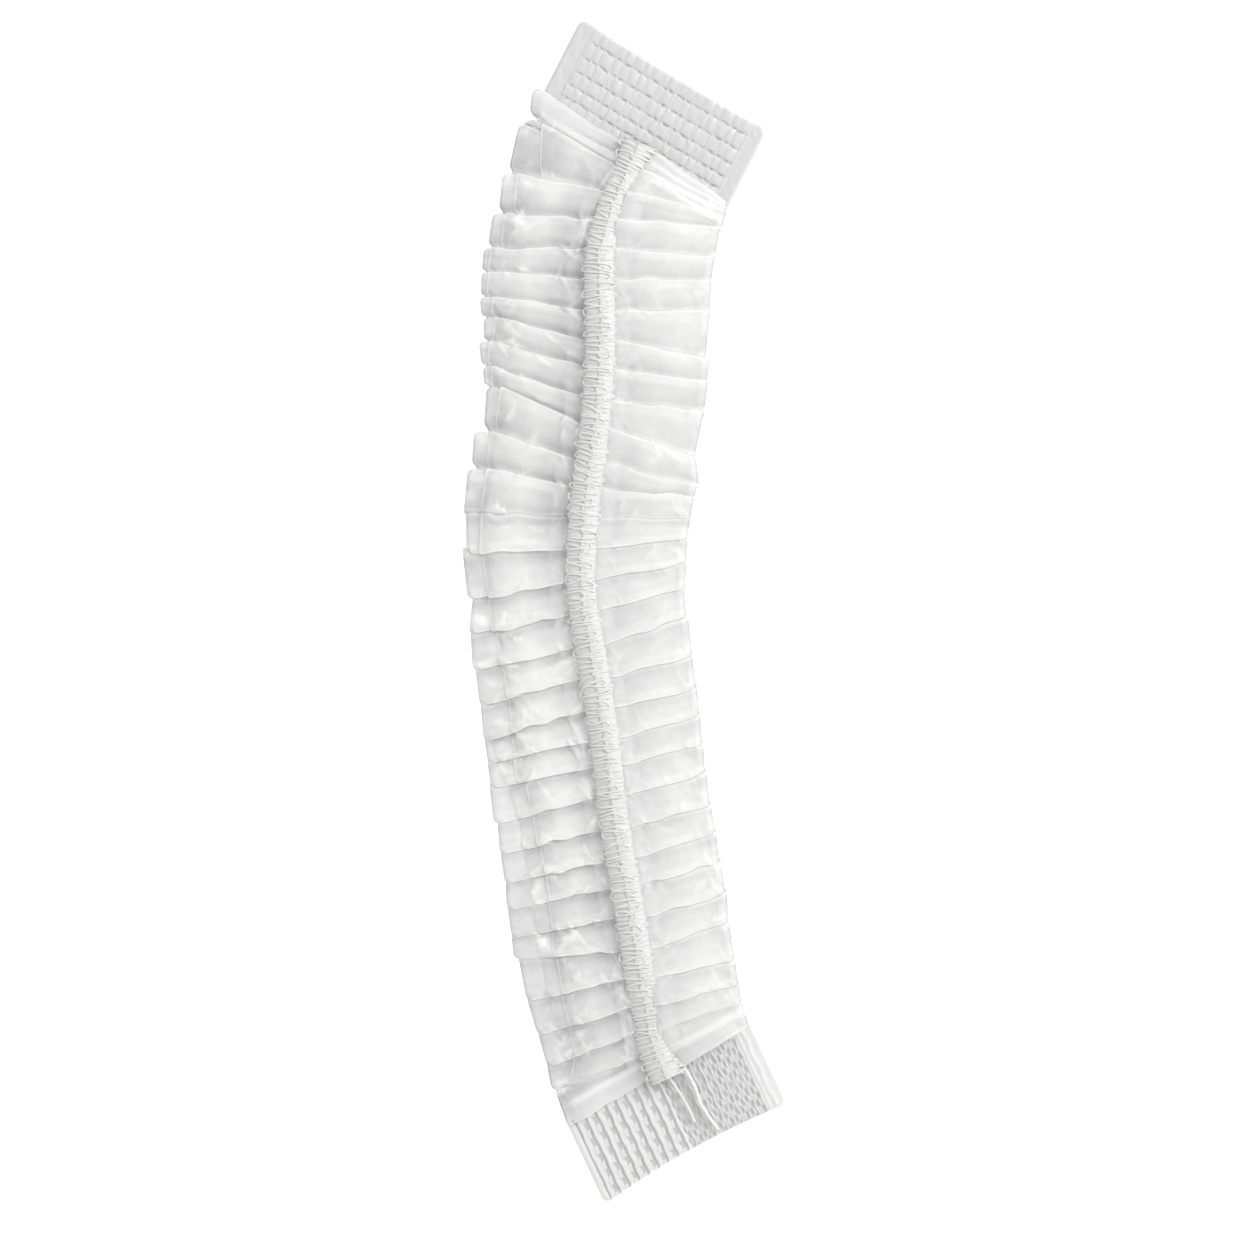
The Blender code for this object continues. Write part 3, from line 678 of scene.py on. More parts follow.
# %% Keeping clear of the welds
WELD_CLEAR = 0.9 * MM        # from a weld's inner edge to the layers below
WELD_SOFT = 2.2 * MM
Weld = namedtuple("Weld", "angle middle_x middle_y length reach overlap")
TOP_WELD = Weld(math.radians(-31.0), 636.2, 147.1, 40.3 * MM, 15.6 * MM, 3.0 * MM)
BOTTOM_WELD = Weld(math.radians(29.0 + 180), 660.3, 1077.2, 39.0 * MM, 16.0 * MM, 3.0 * MM)


def weld_axes(weld):
    """The middle of the flap line on a weld, its direction along the outer edge and the one outwards."""
    middle = np.array([metres_x(weld.middle_x), metres_y(weld.middle_y)])
    along = np.array([math.cos(weld.angle), math.sin(weld.angle)])
    return middle, along, np.array([-along[1], along[0]])


def clear_of_welds(x, y):
    """Points moved so that they stay clear of both welds."""
    for weld in (TOP_WELD, BOTTOM_WELD):
        middle, _, out = weld_axes(weld)
        inside = -((x - middle[0]) * out[0] + (y - middle[1]) * out[1]) - weld.overlap - WELD_CLEAR
        shift = (inside + np.sqrt(inside ** 2 + WELD_SOFT ** 2)) / 2 - inside
        x, y = x - out[0] * shift, y - out[1] * shift
    return x, y


print("Welds of", TOP_WELD.length / MM, "and", BOTTOM_WELD.length / MM, "mm")

# %% [markdown]
# Under the top layer the film runs back and forth: out to a middle fold, back in, out to the rim and in
# again along the floor. All these layers were gathered together, so they share the top layer's ruffles and
# lie inside each other. Only their folds at the side show past the top layer. At the rim the film bulges as
# it turns down.

# %% The layers below
NEST_LAG = 0.02              # how much further in the ridges lie than those of the top layer, in bands
FLOOR_LEVEL = 0.12 * MM      # height of the lowest layer
FLOOR_RUFFLE = 0.30 * MM
DROPS = (0.035, 0.060, 0.085)    # how much lower each layer lies than the top one, as a share of its height
INNER_FOLD = 0.22            # where a layer folds back at its inner side, as a share of its way out
OUTER = 0.982                # and at its outer side
BULGE = 0.45 * MM            # how far a fold bulges out
FOLD_STEPS = 8
LAYER_COLUMNS = (20, 10, 26, 12)
RIM_INSET = 0.30 * MM
MIDDLE_INSET = 0.35 * MM
MIDDLE_INWARD = (0.12, 0.60)    # the left middle fold between the rim and the top layer, above and below
MIDDLE_FROM = 19             # the fold line from which on it moves inwards
MIDDLE_OVER = 4


def below_sheet(side):
    """Points and tone with painted light of one side's layers below, from the second layer down to the
    floor's middle.
    """
    rows = film_rows(NEST_LAG)
    edge_x = corner_x(rows, SIDE_NAMES[side])
    if side < 0:
        rim_x = corner_x(rows, RIM_NAMES[side])
        inward = ease((rows.line - MIDDLE_FROM) / MIDDLE_OVER) * (MIDDLE_INWARD[1] - MIDDLE_INWARD[0])
        middle_x = rim_x + (edge_x - rim_x) * (inward + MIDDLE_INWARD[0])
    else:
        rim_x = edge_x - RIM_INSET
        middle_x = rim_x - MIDDLE_INSET
    hem_x, hem_y = hem_place(rows.line, side)
    centre_x = hem_x - side * SLIT
    crest = COLUMNS["crest"][rows.band]
    parts = []

    def layer(drop, start, stop, count, outer_x, inner_x):
        """One layer from a share of its way out to another. The lowest one, on the floor, has no drop."""
        share = np.linspace(start, stop, count)[None, :]
        rounded_x = outer_x - side * corner_inset(rows, side, RIM_CORNER)
        x = inner_x + (rounded_x - inner_x) * share
        y = hem_y + (end_place(rows, side, outer_x) - hem_y) * share
        reach = np.clip((x - hem_x) / (edge_x - hem_x), 0, 1)
        if drop is None:
            z = FLOOR_LEVEL + rows.height * crest * FLOOR_RUFFLE * share
        else:
            z = FLOOR_LEVEL + (ruffled(rows, x, y, reach, side) - FLOOR_LEVEL) * (1 - drop)
        parts.append([x, y + wander(rows.line, reach, side), z, band_tone(rows, x, y, reach, side)])

    def fold(outward, low, bulge, tone):
        """A rounded fold from the last layer's end down to a height."""
        end = [values[:, -1:] for values in parts[-1]]
        half = (end[2] - low) / 2
        turn = np.linspace(0, math.pi, FOLD_STEPS)[None, 1:-1]
        x = end[0] + np.minimum(np.abs(half), bulge) * outward * side * np.sin(turn)
        parts.append([x, end[1] + 0 * turn, end[2] - half * (1 - np.cos(turn)), end[3] + tone + 0 * turn])

    def lower(first, second):
        """The height of the second layer where the first one ends."""
        return FLOOR_LEVEL + (parts[-1][2][:, -1:] - FLOOR_LEVEL) * (1 - second) / (1 - first)

    layer(DROPS[0], INNER_FOLD, OUTER, LAYER_COLUMNS[0], middle_x, hem_x)
    # The middle fold gets the painted edge line of its side: a highlight on the left, a dark line on the
    # right.
    fold(1, lower(DROPS[0], DROPS[1]), BULGE, EDGE_LIGHT_AND_SHADE[side])
    layer(DROPS[1], OUTER, INNER_FOLD, LAYER_COLUMNS[1], middle_x, hem_x)
    fold(-1, lower(DROPS[1], DROPS[2]), BULGE, 0.0)
    layer(DROPS[2], INNER_FOLD, OUTER, LAYER_COLUMNS[2], rim_x, hem_x)
    # The rim fold gets a painted dark line, where the film turns down edge on.
    fold(1, FLOOR_LEVEL, BULGE, RIM_SHADE)
    layer(None, OUTER, 0.0, LAYER_COLUMNS[3], rim_x, centre_x)
    x, y, z, tone = (np.concatenate([part[value] for part in parts], 1) for value in range(4))
    x, y = clear_of_welds(x, y)
    return np.stack([x, y, z], -1), tone


def make_below(name, side):
    """The layers below on one side."""
    points, tone = below_sheet(side)
    piece = grid_mesh(name, points, flip=side > 0)
    store(piece.data, "milkiness", tone)
    return piece


left_below = make_below("left_lower_film", -1)
right_below = make_below("right_lower_film", 1)
report(left_below, right_below)

# %% [markdown]
# ## The two hems
#
# Each hem is a tunnel of film, bunched up by the elastic inside it to a third of its length. Seen from
# above it is a dense row of little folds. The film runs to and fro across the hem, and turns in a hairpin
# at each side. That is a rule along a path, so Geometry Nodes make it. The input is the hem's middle line.
# The tree lays a zigzag over it, rounds its corners, sweeps a thin fold along it, and puts a ribbed core
# underneath.

# %% The middle line of a hem
HEM_SPACING = 2.66 * MM      # between the two middle lines
HEM_LOW = 3.1 * MM           # height of the middle line on a weld
HEM_HIGH = 6.35 * MM
HEM_EASE = 24 * MM
HEM_ENDS = (143.0, 1078.0)
HEM_STEP = 2.0
FLARE = 0.16                 # how much wider a hem is at its very ends
FLARE_LENGTH = 5 * MM
END_SLOPES = (-0.42, 0.45)    # how the hems lean past the line's two ends, in pixels of X to one of Y


def hem_path(side):
    """Points along the middle of a hem from its upper end down, and how much wider it is at each."""
    py = np.arange(HEM_ENDS[0], HEM_ENDS[1] + HEM_STEP, HEM_STEP)
    outside = np.minimum(py - SPINE[0][0], 0) + np.maximum(py - SPINE[-1][0], 0)
    x = metres_x(spine_x(py) + outside * np.where(py < ORIGIN_PIXEL[1], *END_SLOPES))
    y = metres_y(py)
    dx, dy = np.gradient(x), np.gradient(y)
    aside = side * HEM_SPACING / 2 / np.hypot(dx, dy)
    to_end = np.minimum(y[0] - y, y - y[-1])
    z = HEM_LOW + (HEM_HIGH - HEM_LOW) * ease(to_end / HEM_EASE)
    points = np.stack([x - dy * aside, y + dx * aside, z], -1)
    return points, 1 + FLARE * (1 - ease(to_end / FLARE_LENGTH))


print("Hem length in mm:", round(float(np.linalg.norm(np.diff(hem_path(-1)[0], axis=0), axis=1).sum() / MM)))

# %% [markdown]
# Colours are picked as the hex values of an sRGB picture, and the shader wants them linear, so one function
# changes them. Another adds a node to a tree of either kind: it sets the node's options, fills its inputs
# with numbers or with other nodes' outputs, and gives back one of its own outputs.

# %% Two helpers for node trees


def linear(hex_colour):
    """A linear colour with alpha from an sRGB hex value such as #F0F0EE."""
    parts = [int(hex_colour[k:k + 2], 16) / 255 for k in (1, 3, 5)]
    return (*[c / 12.92 if c <= 0.04045 else ((c + 0.055) / 1.055) ** 2.4 for c in parts], 1.0)


def node(tree, kind, inputs=None, output=0, **options):
    """Add a node, set its options, fill or link its inputs, and give one output, or all of them for None."""
    made = tree.nodes.new(kind)
    for name, value in options.items():
        setattr(made, name, value)
    for key, value in (inputs or {}).items():
        for source in value if isinstance(value, list) else [value]:
            if isinstance(source, bpy.types.NodeSocket):
                tree.links.new(source, made.inputs[key])
            else:
                made.inputs[key].default_value = source
    return made.outputs if output is None else made.outputs[output]


# %% [markdown]
# The film of a hem runs to and fro across it. The first part of the tree makes that line. It puts four
# points in each pitch of the hem's middle line and moves two to one side and two to the other. How far each
# goes is random, between a least reach and a little past the half width. The left hem's folds also cross
# the seam and lie on the right hem, which makes both look like one rope, so `Past Seam` lets them go
# further to the right. At the very ends the hem is pressed, and there all folds run its full width side by
# side. The two points of a hairpin are drawn apart a little, so that the runs between the hairpins are
# nearly straight.

# %% The hairpins of a hem
HAIRPIN_SPREAD = 0.20        # how far the points of a hairpin are drawn apart, in pitches
MOST_REACH = 1.1             # how far a hairpin can reach, in half widths
JITTER = 0.30                # how far each point strays along the hem, in pitches


def hairpins(tree, size, line):
    """Nodes that lay a line to and fro across a hem."""
    quarter = node(tree, "ShaderNodeMath", {0: size["Pitch"], 1: 4.0}, operation="DIVIDE")
    corners = node(tree, "GeometryNodeResampleCurve", {"Curve": line, "Length": quarter}, mode="LENGTH")
    index = node(tree, "GeometryNodeInputIndex")
    turn = node(tree, "ShaderNodeMath", {0: index, 1: 4.0}, operation="MODULO")
    first = node(tree, "ShaderNodeMath", {0: turn, 1: 2.0}, operation="LESS_THAN")
    side = node(tree, "ShaderNodeMath", {0: first, 1: 2.0, 2: -1.0}, operation="MULTIPLY_ADD")
    reach = node(tree, "FunctionNodeRandomValue", {
        2: size["Least Reach"], 3: MOST_REACH, "Seed": size["Seed"],
    }, output=1, data_type="FLOAT")
    flare = node(tree, "GeometryNodeInputNamedAttribute", {"Name": "flare"}, data_type="FLOAT")
    at_end = node(tree, "ShaderNodeMapRange", {0: flare, 1: 1.0, 2: 1.0 + FLARE})
    even = node(tree, "ShaderNodeMix", {0: at_end, 2: reach, 3: 1.0}, data_type="FLOAT")
    third_seed = node(tree, "ShaderNodeMath", {0: size["Seed"], 1: 2.0}, operation="ADD")
    crossing = node(tree, "FunctionNodeRandomValue", {
        3: size["Past Seam"], "Seed": third_seed,
    }, output=1, data_type="FLOAT")
    full = node(tree, "ShaderNodeMix", {0: at_end, 2: crossing, 3: size["Past Seam"]}, data_type="FLOAT")
    only_right = node(tree, "ShaderNodeMath", {0: first, 1: full}, operation="MULTIPLY")
    across = node(tree, "ShaderNodeMath", {0: side, 1: even, 2: only_right}, operation="MULTIPLY_ADD")
    kept = node(tree, "GeometryNodeStoreNamedAttribute", {
        "Geometry": corners, "Name": "across", "Value": across,
    }, data_type="FLOAT", domain="POINT")
    tangent = node(tree, "GeometryNodeInputTangent")
    to_right = node(tree, "ShaderNodeVectorMath", {0: (0, 0, 1), 1: tangent}, operation="CROSS_PRODUCT")
    width = node(tree, "ShaderNodeMath", {0: size["Half Width"], 1: flare}, operation="MULTIPLY")
    distance = node(tree, "ShaderNodeMath", {0: across, 1: width}, operation="MULTIPLY")
    aside = node(tree, "ShaderNodeVectorMath", {0: to_right, "Scale": distance}, operation="SCALE")
    odd = node(tree, "ShaderNodeMath", {0: index, 1: 2.0}, operation="MODULO")
    other_seed = node(tree, "ShaderNodeMath", {0: size["Seed"], 1: 1.0}, operation="ADD")
    stray = node(tree, "FunctionNodeRandomValue", {
        2: -JITTER - HAIRPIN_SPREAD / 2, 3: JITTER - HAIRPIN_SPREAD / 2, "Seed": other_seed,
    }, output=1, data_type="FLOAT")
    tidy = node(tree, "ShaderNodeMix", {0: at_end, 2: stray, 3: -HAIRPIN_SPREAD / 2}, data_type="FLOAT")
    shift = node(tree, "ShaderNodeMath", {0: odd, 1: HAIRPIN_SPREAD, 2: tidy}, operation="MULTIPLY_ADD")
    metres = node(tree, "ShaderNodeMath", {0: shift, 1: size["Pitch"]}, operation="MULTIPLY")
    onward = node(tree, "ShaderNodeVectorMath", {0: tangent, "Scale": metres}, operation="SCALE")
    offset = node(tree, "ShaderNodeVectorMath", {0: aside, 1: onward}, operation="ADD")
    zigzag = node(tree, "GeometryNodeSetPosition", {"Geometry": kept, "Offset": offset})
    return node(tree, "GeometryNodeCurveSplineType", {"Curve": zigzag}, spline_type="CATMULL_ROM")


# %% [markdown]
# The second part arches that line over the hem and sweeps a fold of film along it. Both hems share one
# arch, with its highest place at the seam between them, so no dark line shows there. The fold's section is
# a circle that is pulled in at the top, so it has a narrow crest and spreads to its foot, as a pinched film
# does. A noise makes the crest rise and sink and the fold swell and thin.

# %% The fold along the hairpins
SWEEP_STEP = 0.16 * MM
UNEVEN_SIZE = 1.1 * MM       # distance over which a fold swells and thins
UNEVEN_RISE = 0.3 * MM
SWELLING = (0.6, 0.8)        # least thickness of a fold, and how much the noise adds
CREST_NARROWING = (0.58, -0.42)


def arched(tree, size, across):
    """The height of the hem's upper side, from 0 at its outer edge to 1 at the seam between the two hems."""
    from_seam = node(tree, "ShaderNodeMath", {0: across, 1: size["Seam"]}, operation="SUBTRACT")
    half = node(tree, "ShaderNodeMath", {0: from_seam, 1: 0.5}, operation="MULTIPLY")
    square = node(tree, "ShaderNodeMath", {0: half, 1: half}, operation="MULTIPLY")
    left = node(tree, "ShaderNodeMath", {0: 1.0, 1: square}, operation="SUBTRACT", use_clamp=True)
    return node(tree, "ShaderNodeMath", {0: left, 1: 0.5}, operation="POWER")


def swept_fold(tree, size, route):
    """Nodes that arch a line over the hem and sweep a pinched fold along it."""
    fine = node(tree, "GeometryNodeResampleCurve", {"Curve": route, "Length": SWEEP_STEP}, mode="LENGTH")
    across = node(tree, "GeometryNodeInputNamedAttribute", {"Name": "across"}, data_type="FLOAT")
    arch = arched(tree, size, across)
    noise = node(tree, "ShaderNodeTexNoise", {"Scale": 1 / UNEVEN_SIZE, "Detail": 1.0}, output="Fac")
    uneven = node(tree, "ShaderNodeMath", {
        0: noise, 1: UNEVEN_RISE, 2: -UNEVEN_RISE / 2,
    }, operation="MULTIPLY_ADD")
    height = node(tree, "ShaderNodeMath", {
        0: arch, 1: size["Half Height"], 2: uneven,
    }, operation="MULTIPLY_ADD")
    up = node(tree, "ShaderNodeCombineXYZ", {"Z": height})
    lifted = node(tree, "GeometryNodeSetPosition", {"Geometry": fine, "Offset": up})
    upright = node(tree, "GeometryNodeSetCurveNormal", {"Curve": lifted}, mode="Z_UP")
    swelling = node(tree, "ShaderNodeMath", {
        0: noise, 1: SWELLING[1], 2: SWELLING[0],
    }, operation="MULTIPLY_ADD")
    circle = node(tree, "GeometryNodeCurvePrimitiveCircle", {"Resolution": 8, "Radius": 1.0})
    place = node(tree, "ShaderNodeSeparateXYZ", {0: node(tree, "GeometryNodeInputPosition")}, output=None)
    narrow = node(tree, "ShaderNodeMath", {
        0: place[1], 1: CREST_NARROWING[1], 2: CREST_NARROWING[0],
    }, operation="MULTIPLY_ADD")
    pulled = node(tree, "ShaderNodeMath", {0: place[0], 1: narrow}, operation="MULTIPLY")
    section_x = node(tree, "ShaderNodeMath", {0: pulled, 1: size["Fold Width"]}, operation="MULTIPLY")
    section_y = node(tree, "ShaderNodeMath", {0: place[1], 1: size["Fold Height"]}, operation="MULTIPLY")
    pinched = node(tree, "ShaderNodeCombineXYZ", {"X": section_x, "Y": section_y})
    section = node(tree, "GeometryNodeSetPosition", {"Geometry": circle, "Position": pinched})
    return node(tree, "GeometryNodeCurveToMesh", {
        "Curve": upright, "Profile Curve": section, "Scale": swelling, "Fill Caps": True,
    })


# %% [markdown]
# The third part is the bunched film under the folds, a tube with an oval section and soft uneven ribs. The
# tree joins both parts, realizes them and gives each its material. Its inputs are the sizes of a hem, and
# the two hems differ in them. The left one is looser: its folds are thin strands, further apart, and the
# packed film shows between them. The right one is a fuller tube with broad shallow folds close together.

# %% The core and the whole tree
CORE_STEP = 0.15 * MM
CORE_SIDES = 24
RIB_WANDER_SIZE = 2.9 * MM   # distance over which the ribs drift
RIB_DRIFT = 14.0
HEM_LENGTHS = {              # in millimetres, of the left hem and of the right one
    "Pitch": (1.90, 1.70), "Half Width": (1.45, 1.26), "Half Height": (1.34, 1.28),
    "Fold Width": (0.30, 0.52), "Fold Height": (0.14, 0.12),
    "Core Width": (1.41, 1.40), "Core Height": (1.24, 1.38), "Rib Depth": (0.08, 0.04),
}
HEM_SHARES = {"Least Reach": (0.45, 0.70), "Past Seam": (1.75, 0.0), "Seam": (1.0, -1.0)}
HEM_SEEDS = (3, 8)


def ribbed_core(tree, size, line):
    """Nodes that sweep an oval tube along the hem and rib it."""
    axis = node(tree, "GeometryNodeResampleCurve", {"Curve": line, "Length": CORE_STEP}, mode="LENGTH")
    upright = node(tree, "GeometryNodeSetCurveNormal", {"Curve": axis}, mode="Z_UP")
    way = node(tree, "GeometryNodeSplineParameter", output="Length")
    marked = node(tree, "GeometryNodeStoreNamedAttribute", {
        "Geometry": upright, "Name": "way", "Value": way,
    }, data_type="FLOAT", domain="POINT")
    flare = node(tree, "GeometryNodeInputNamedAttribute", {"Name": "flare"}, data_type="FLOAT")
    circle = node(tree, "GeometryNodeCurvePrimitiveCircle", {"Resolution": CORE_SIDES, "Radius": 1.0})
    place = node(tree, "ShaderNodeSeparateXYZ", {0: node(tree, "GeometryNodeInputPosition")}, output=None)
    upper = node(tree, "ShaderNodeMath", {0: place[1]}, operation="SIGN")
    across = node(tree, "ShaderNodeMath", {0: place[0], 1: -1.0}, operation="MULTIPLY")
    height = node(tree, "ShaderNodeMath", {0: arched(tree, size, across), 1: upper}, operation="MULTIPLY")
    core_x = node(tree, "ShaderNodeMath", {0: place[0], 1: size["Core Width"]}, operation="MULTIPLY")
    core_y = node(tree, "ShaderNodeMath", {0: height, 1: size["Core Height"]}, operation="MULTIPLY")
    half_oval = node(tree, "ShaderNodeCombineXYZ", {"X": core_x, "Y": core_y})
    section = node(tree, "GeometryNodeSetPosition", {"Geometry": circle, "Position": half_oval})
    tunnel = node(tree, "GeometryNodeCurveToMesh", {
        "Curve": marked, "Profile Curve": section, "Scale": flare, "Fill Caps": True,
    })
    along = node(tree, "GeometryNodeInputNamedAttribute", {"Name": "way"}, data_type="FLOAT")
    drift = node(tree, "ShaderNodeTexNoise", {"Scale": 1 / RIB_WANDER_SIZE, "Detail": 0.0}, output="Fac")
    pitches = node(tree, "ShaderNodeMath", {0: along, 1: size["Pitch"]}, operation="DIVIDE")
    phase = node(tree, "ShaderNodeMath", {0: pitches, 1: 4 * math.pi}, operation="MULTIPLY")
    drifted = node(tree, "ShaderNodeMath", {0: drift, 1: RIB_DRIFT, 2: phase}, operation="MULTIPLY_ADD")
    wave = node(tree, "ShaderNodeMath", {0: drifted}, operation="SINE")
    depth = node(tree, "ShaderNodeMath", {0: wave, 1: size["Rib Depth"]}, operation="MULTIPLY")
    normal = node(tree, "GeometryNodeInputNormal")
    offset = node(tree, "ShaderNodeVectorMath", {0: normal, "Scale": depth}, operation="SCALE")
    return node(tree, "GeometryNodeSetPosition", {"Geometry": tunnel, "Offset": offset})


def gather_tree():
    """Geometry Nodes that make a bunched hem along a line."""
    tree = bpy.data.node_groups.new("bunched hem", "GeometryNodeTree")
    tree.interface.new_socket("Geometry", in_out="INPUT", socket_type="NodeSocketGeometry")
    kinds = {name: "Float" for name in (*HEM_LENGTHS, *HEM_SHARES)}
    kinds |= {"Seed": "Int", "Fold Film": "Material", "Core Shade Film": "Material"}
    for name, kind in kinds.items():
        tree.interface.new_socket(name, in_out="INPUT", socket_type="NodeSocket" + kind)
    tree.interface.new_socket("Geometry", in_out="OUTPUT", socket_type="NodeSocketGeometry")
    size = node(tree, "NodeGroupInput", output=None)
    line = node(tree, "GeometryNodeMeshToCurve", {"Mesh": size["Geometry"]})
    fold = swept_fold(tree, size, hairpins(tree, size, line))
    marked = node(tree, "GeometryNodeStoreNamedAttribute", {
        "Geometry": fold, "Name": "is_fold", "Value": True,
    }, data_type="BOOLEAN", domain="FACE")
    both = node(tree, "GeometryNodeJoinGeometry", {0: [marked, ribbed_core(tree, size, line)]})
    smooth = node(tree, "GeometryNodeSetShadeSmooth", {"Geometry": both})
    real = node(tree, "GeometryNodeRealizeInstances", {"Geometry": smooth})
    packed = node(tree, "GeometryNodeSetMaterial", {"Geometry": real, "Material": size["Core Shade Film"]})
    is_fold = node(tree, "GeometryNodeInputNamedAttribute", {"Name": "is_fold"}, data_type="BOOLEAN")
    done = node(tree, "GeometryNodeSetMaterial", {
        "Geometry": packed, "Selection": is_fold, "Material": size["Fold Film"],
    })
    node(tree, "NodeGroupOutput", {0: done}, output=None)
    return tree


bunching = gather_tree()
print("A tree of", len(bunching.nodes), "nodes")

# %% [markdown]
# The hems are the same blown polyethylene film, bunched so densely that it looks almost opaque and a little
# warmer than the rest. The packed film between the folds is painted darker than the folds, for the shade
# where little light gets in, and the right hem's folds are painted a little darker than the left's. A fine
# grain breaks up the shine, as the tiny wrinkles of gathered film do.

# %% Bunched film
BUNCHED_GRAIN = 0.4 * MM
FOLD_FILM = ("#D9D9D7", "#D5D5D3")    # of the left hem and of the right one, the right's painted a little darker
# The packed film between the folds, painted darker than the folds for the shade there.
CORE_SHADE_FILM = ("#CFCFCD", "#D2D2D0")


def new_material(name, shader):
    """A material whose surface is what a function builds in its tree."""
    material = bpy.data.materials.new(name)
    material.use_nodes = True
    tree = material.node_tree
    tree.nodes.clear()
    node(tree, "ShaderNodeOutputMaterial", {"Surface": shader(tree)}, output=None)
    return material


def grained(tree, size, detail, strength, depth):
    """The bump of a fine even grain, with its depth in millimetres."""
    at = node(tree, "ShaderNodeTexCoord", output="Object")
    grain = node(tree, "ShaderNodeTexNoise", {
        "Vector": at, "Scale": 1 / size, "Detail": detail,
    }, output="Fac")
    return node(tree, "ShaderNodeBump", {"Height": grain, "Strength": strength, "Distance": depth * MM})


def bunched_film(colour):
    """The shader of dense film: slightly warm white, a soft sheen and a fine grain."""
    def shader(tree):
        """Build the shader."""
        return node(tree, "ShaderNodeBsdfPrincipled", {
            "Base Color": linear(colour), "Roughness": 0.42,
            "Normal": grained(tree, BUNCHED_GRAIN, 2.0, 0.2, 0.1),
        })
    return shader


fold_films = [new_material("bunched polyethylene film", bunched_film(colour)) for colour in FOLD_FILM]
core_shade_films = [new_material("packed polyethylene film in painted shade", bunched_film(colour)) for colour in CORE_SHADE_FILM]
print(len(fold_films) + len(core_shade_films), "materials for the hems")

# %% [markdown]
# Each hem starts as its bare middle line. The modifier's inputs are set by their identifiers, and the
# tree's result is turned into a plain mesh.

# %% Make both hems


def make_hem(name, side, tree):
    """A hem as a plain mesh."""
    points, flare = hem_path(side)
    edges = [(k, k + 1) for k in range(len(points) - 1)]
    line = add_object(name + "_line", mesh_of(name + "_line", points.tolist(), edges, []))
    store(line.data, "flare", flare)
    modifier = line.modifiers.new("bunched hem", "NODES")
    modifier.node_group = tree
    hem = 0 if side < 0 else 1
    inputs = {key: values[hem] * MM for key, values in HEM_LENGTHS.items()}
    inputs |= {key: values[hem] for key, values in HEM_SHARES.items()}
    inputs |= {"Seed": HEM_SEEDS[hem], "Fold Film": fold_films[hem], "Core Shade Film": core_shade_films[hem]}
    sockets = {item.name: item.identifier for item in tree.interface.items_tree if item.in_out == "INPUT"}
    for key, value in inputs.items():
        modifier[sockets[key]] = value
    made = bpy.data.meshes.new_from_object(line.evaluated_get(bpy.context.evaluated_depsgraph_get()))
    bpy.data.objects.remove(line)
    return add_object(name + "_gathers", made)


left_hem = make_hem("left_hem", -1, bunching)
right_hem = make_hem("right_hem", 1, bunching)
report(left_hem, right_hem)

# %% [markdown]
# ## The elastic tails
#
# The elastic in each hem is a thread of rubber wound with thin fibre. Its end sticks out of the hem and is
# caught in the lower weld. The route inside the hem is the hem's middle line. The tail is a few points from
# the photograph. The winding is a fine screw line, so each ring of the thread is turned a little from the
# last.

# %% The elastic threads
TailPoint = namedtuple("TailPoint", "px py height radius")
TAILS = {
    "left_elastic": (
        TailPoint(668, 1077, 2.1, 0.26), TailPoint(676, 1088, 1.75, 0.26), TailPoint(687, 1106, 1.60, 0.24),
        TailPoint(695.5, 1124, 1.35, 0.22),
    ),
    "right_elastic": (
        TailPoint(680, 1064, 2.6, 0.36), TailPoint(684, 1069, 2.3, 0.36), TailPoint(691, 1080, 1.9, 0.36),
        TailPoint(696.5, 1092, 1.75, 0.34), TailPoint(700, 1103, 1.72, 0.34),
        TailPoint(708, 1116, 1.70, 0.34), TailPoint(718.5, 1131, 1.50, 0.30),
    ),
}
THREAD_SIDES = 10
THREAD_STEP = 0.20 * MM
THREAD_RADIUS = 0.40 * MM
HEM_POINTS = 6               # every so many points of the hem's line are enough for the thread
TAIL_GAP = 1.5 * MM          # left free for the bend from the hem to the tail
WINDING_DEPTH = 0.07
WINDING_STARTS = 3
WINDING_TURN = 1.1           # radians from one ring to the next
ROUNDED_RINGS = 2            # at each end the thread is rounded off over so many rings


def smooth_route(points, step):
    """A smooth curve through rows of numbers, with the first three a place in metres."""
    points = np.array(points, float)
    length = np.concatenate([[0], np.cumsum(np.linalg.norm(np.diff(points[:, :3], axis=0), axis=1))])
    return on_curve(length, points, np.linspace(0, length[-1], int(length[-1] / step) + 1))


def thread_points(name, side):
    """Rings of points round an elastic thread."""
    inside = [(*point, THREAD_RADIUS) for point in hem_path(side)[0][::HEM_POINTS]]
    tail = [(metres_x(p.px), metres_y(p.py), p.height * MM, p.radius * MM) for p in TAILS[name]]
    inside = [point for point in inside if point[1] >= tail[0][1] + TAIL_GAP]
    route = smooth_route(inside + tail, THREAD_STEP)
    middle, radius = route[:, :3], route[:, 3]
    direction = np.gradient(middle, axis=0)
    direction /= np.linalg.norm(direction, axis=1)[:, None]
    right = np.cross([0, 0, 1], direction)
    right /= np.linalg.norm(right, axis=1)[:, None]
    above = np.cross(direction, right)
    turn = np.linspace(0, 2 * math.pi, THREAD_SIDES, endpoint=False)[None, :]
    ring = np.arange(len(route))
    winding = 1 + WINDING_DEPTH * np.sin(WINDING_STARTS * turn + ring[:, None] * WINDING_TURN)
    ends = np.minimum(ring, ring[::-1])
    size = (radius * np.sqrt(np.clip(ends / ROUNDED_RINGS, 0.02, 1)))[:, None] * winding
    return (middle[:, None] + (np.cos(turn) * size)[..., None] * right[:, None]
            + (np.sin(turn) * size)[..., None] * above[:, None])


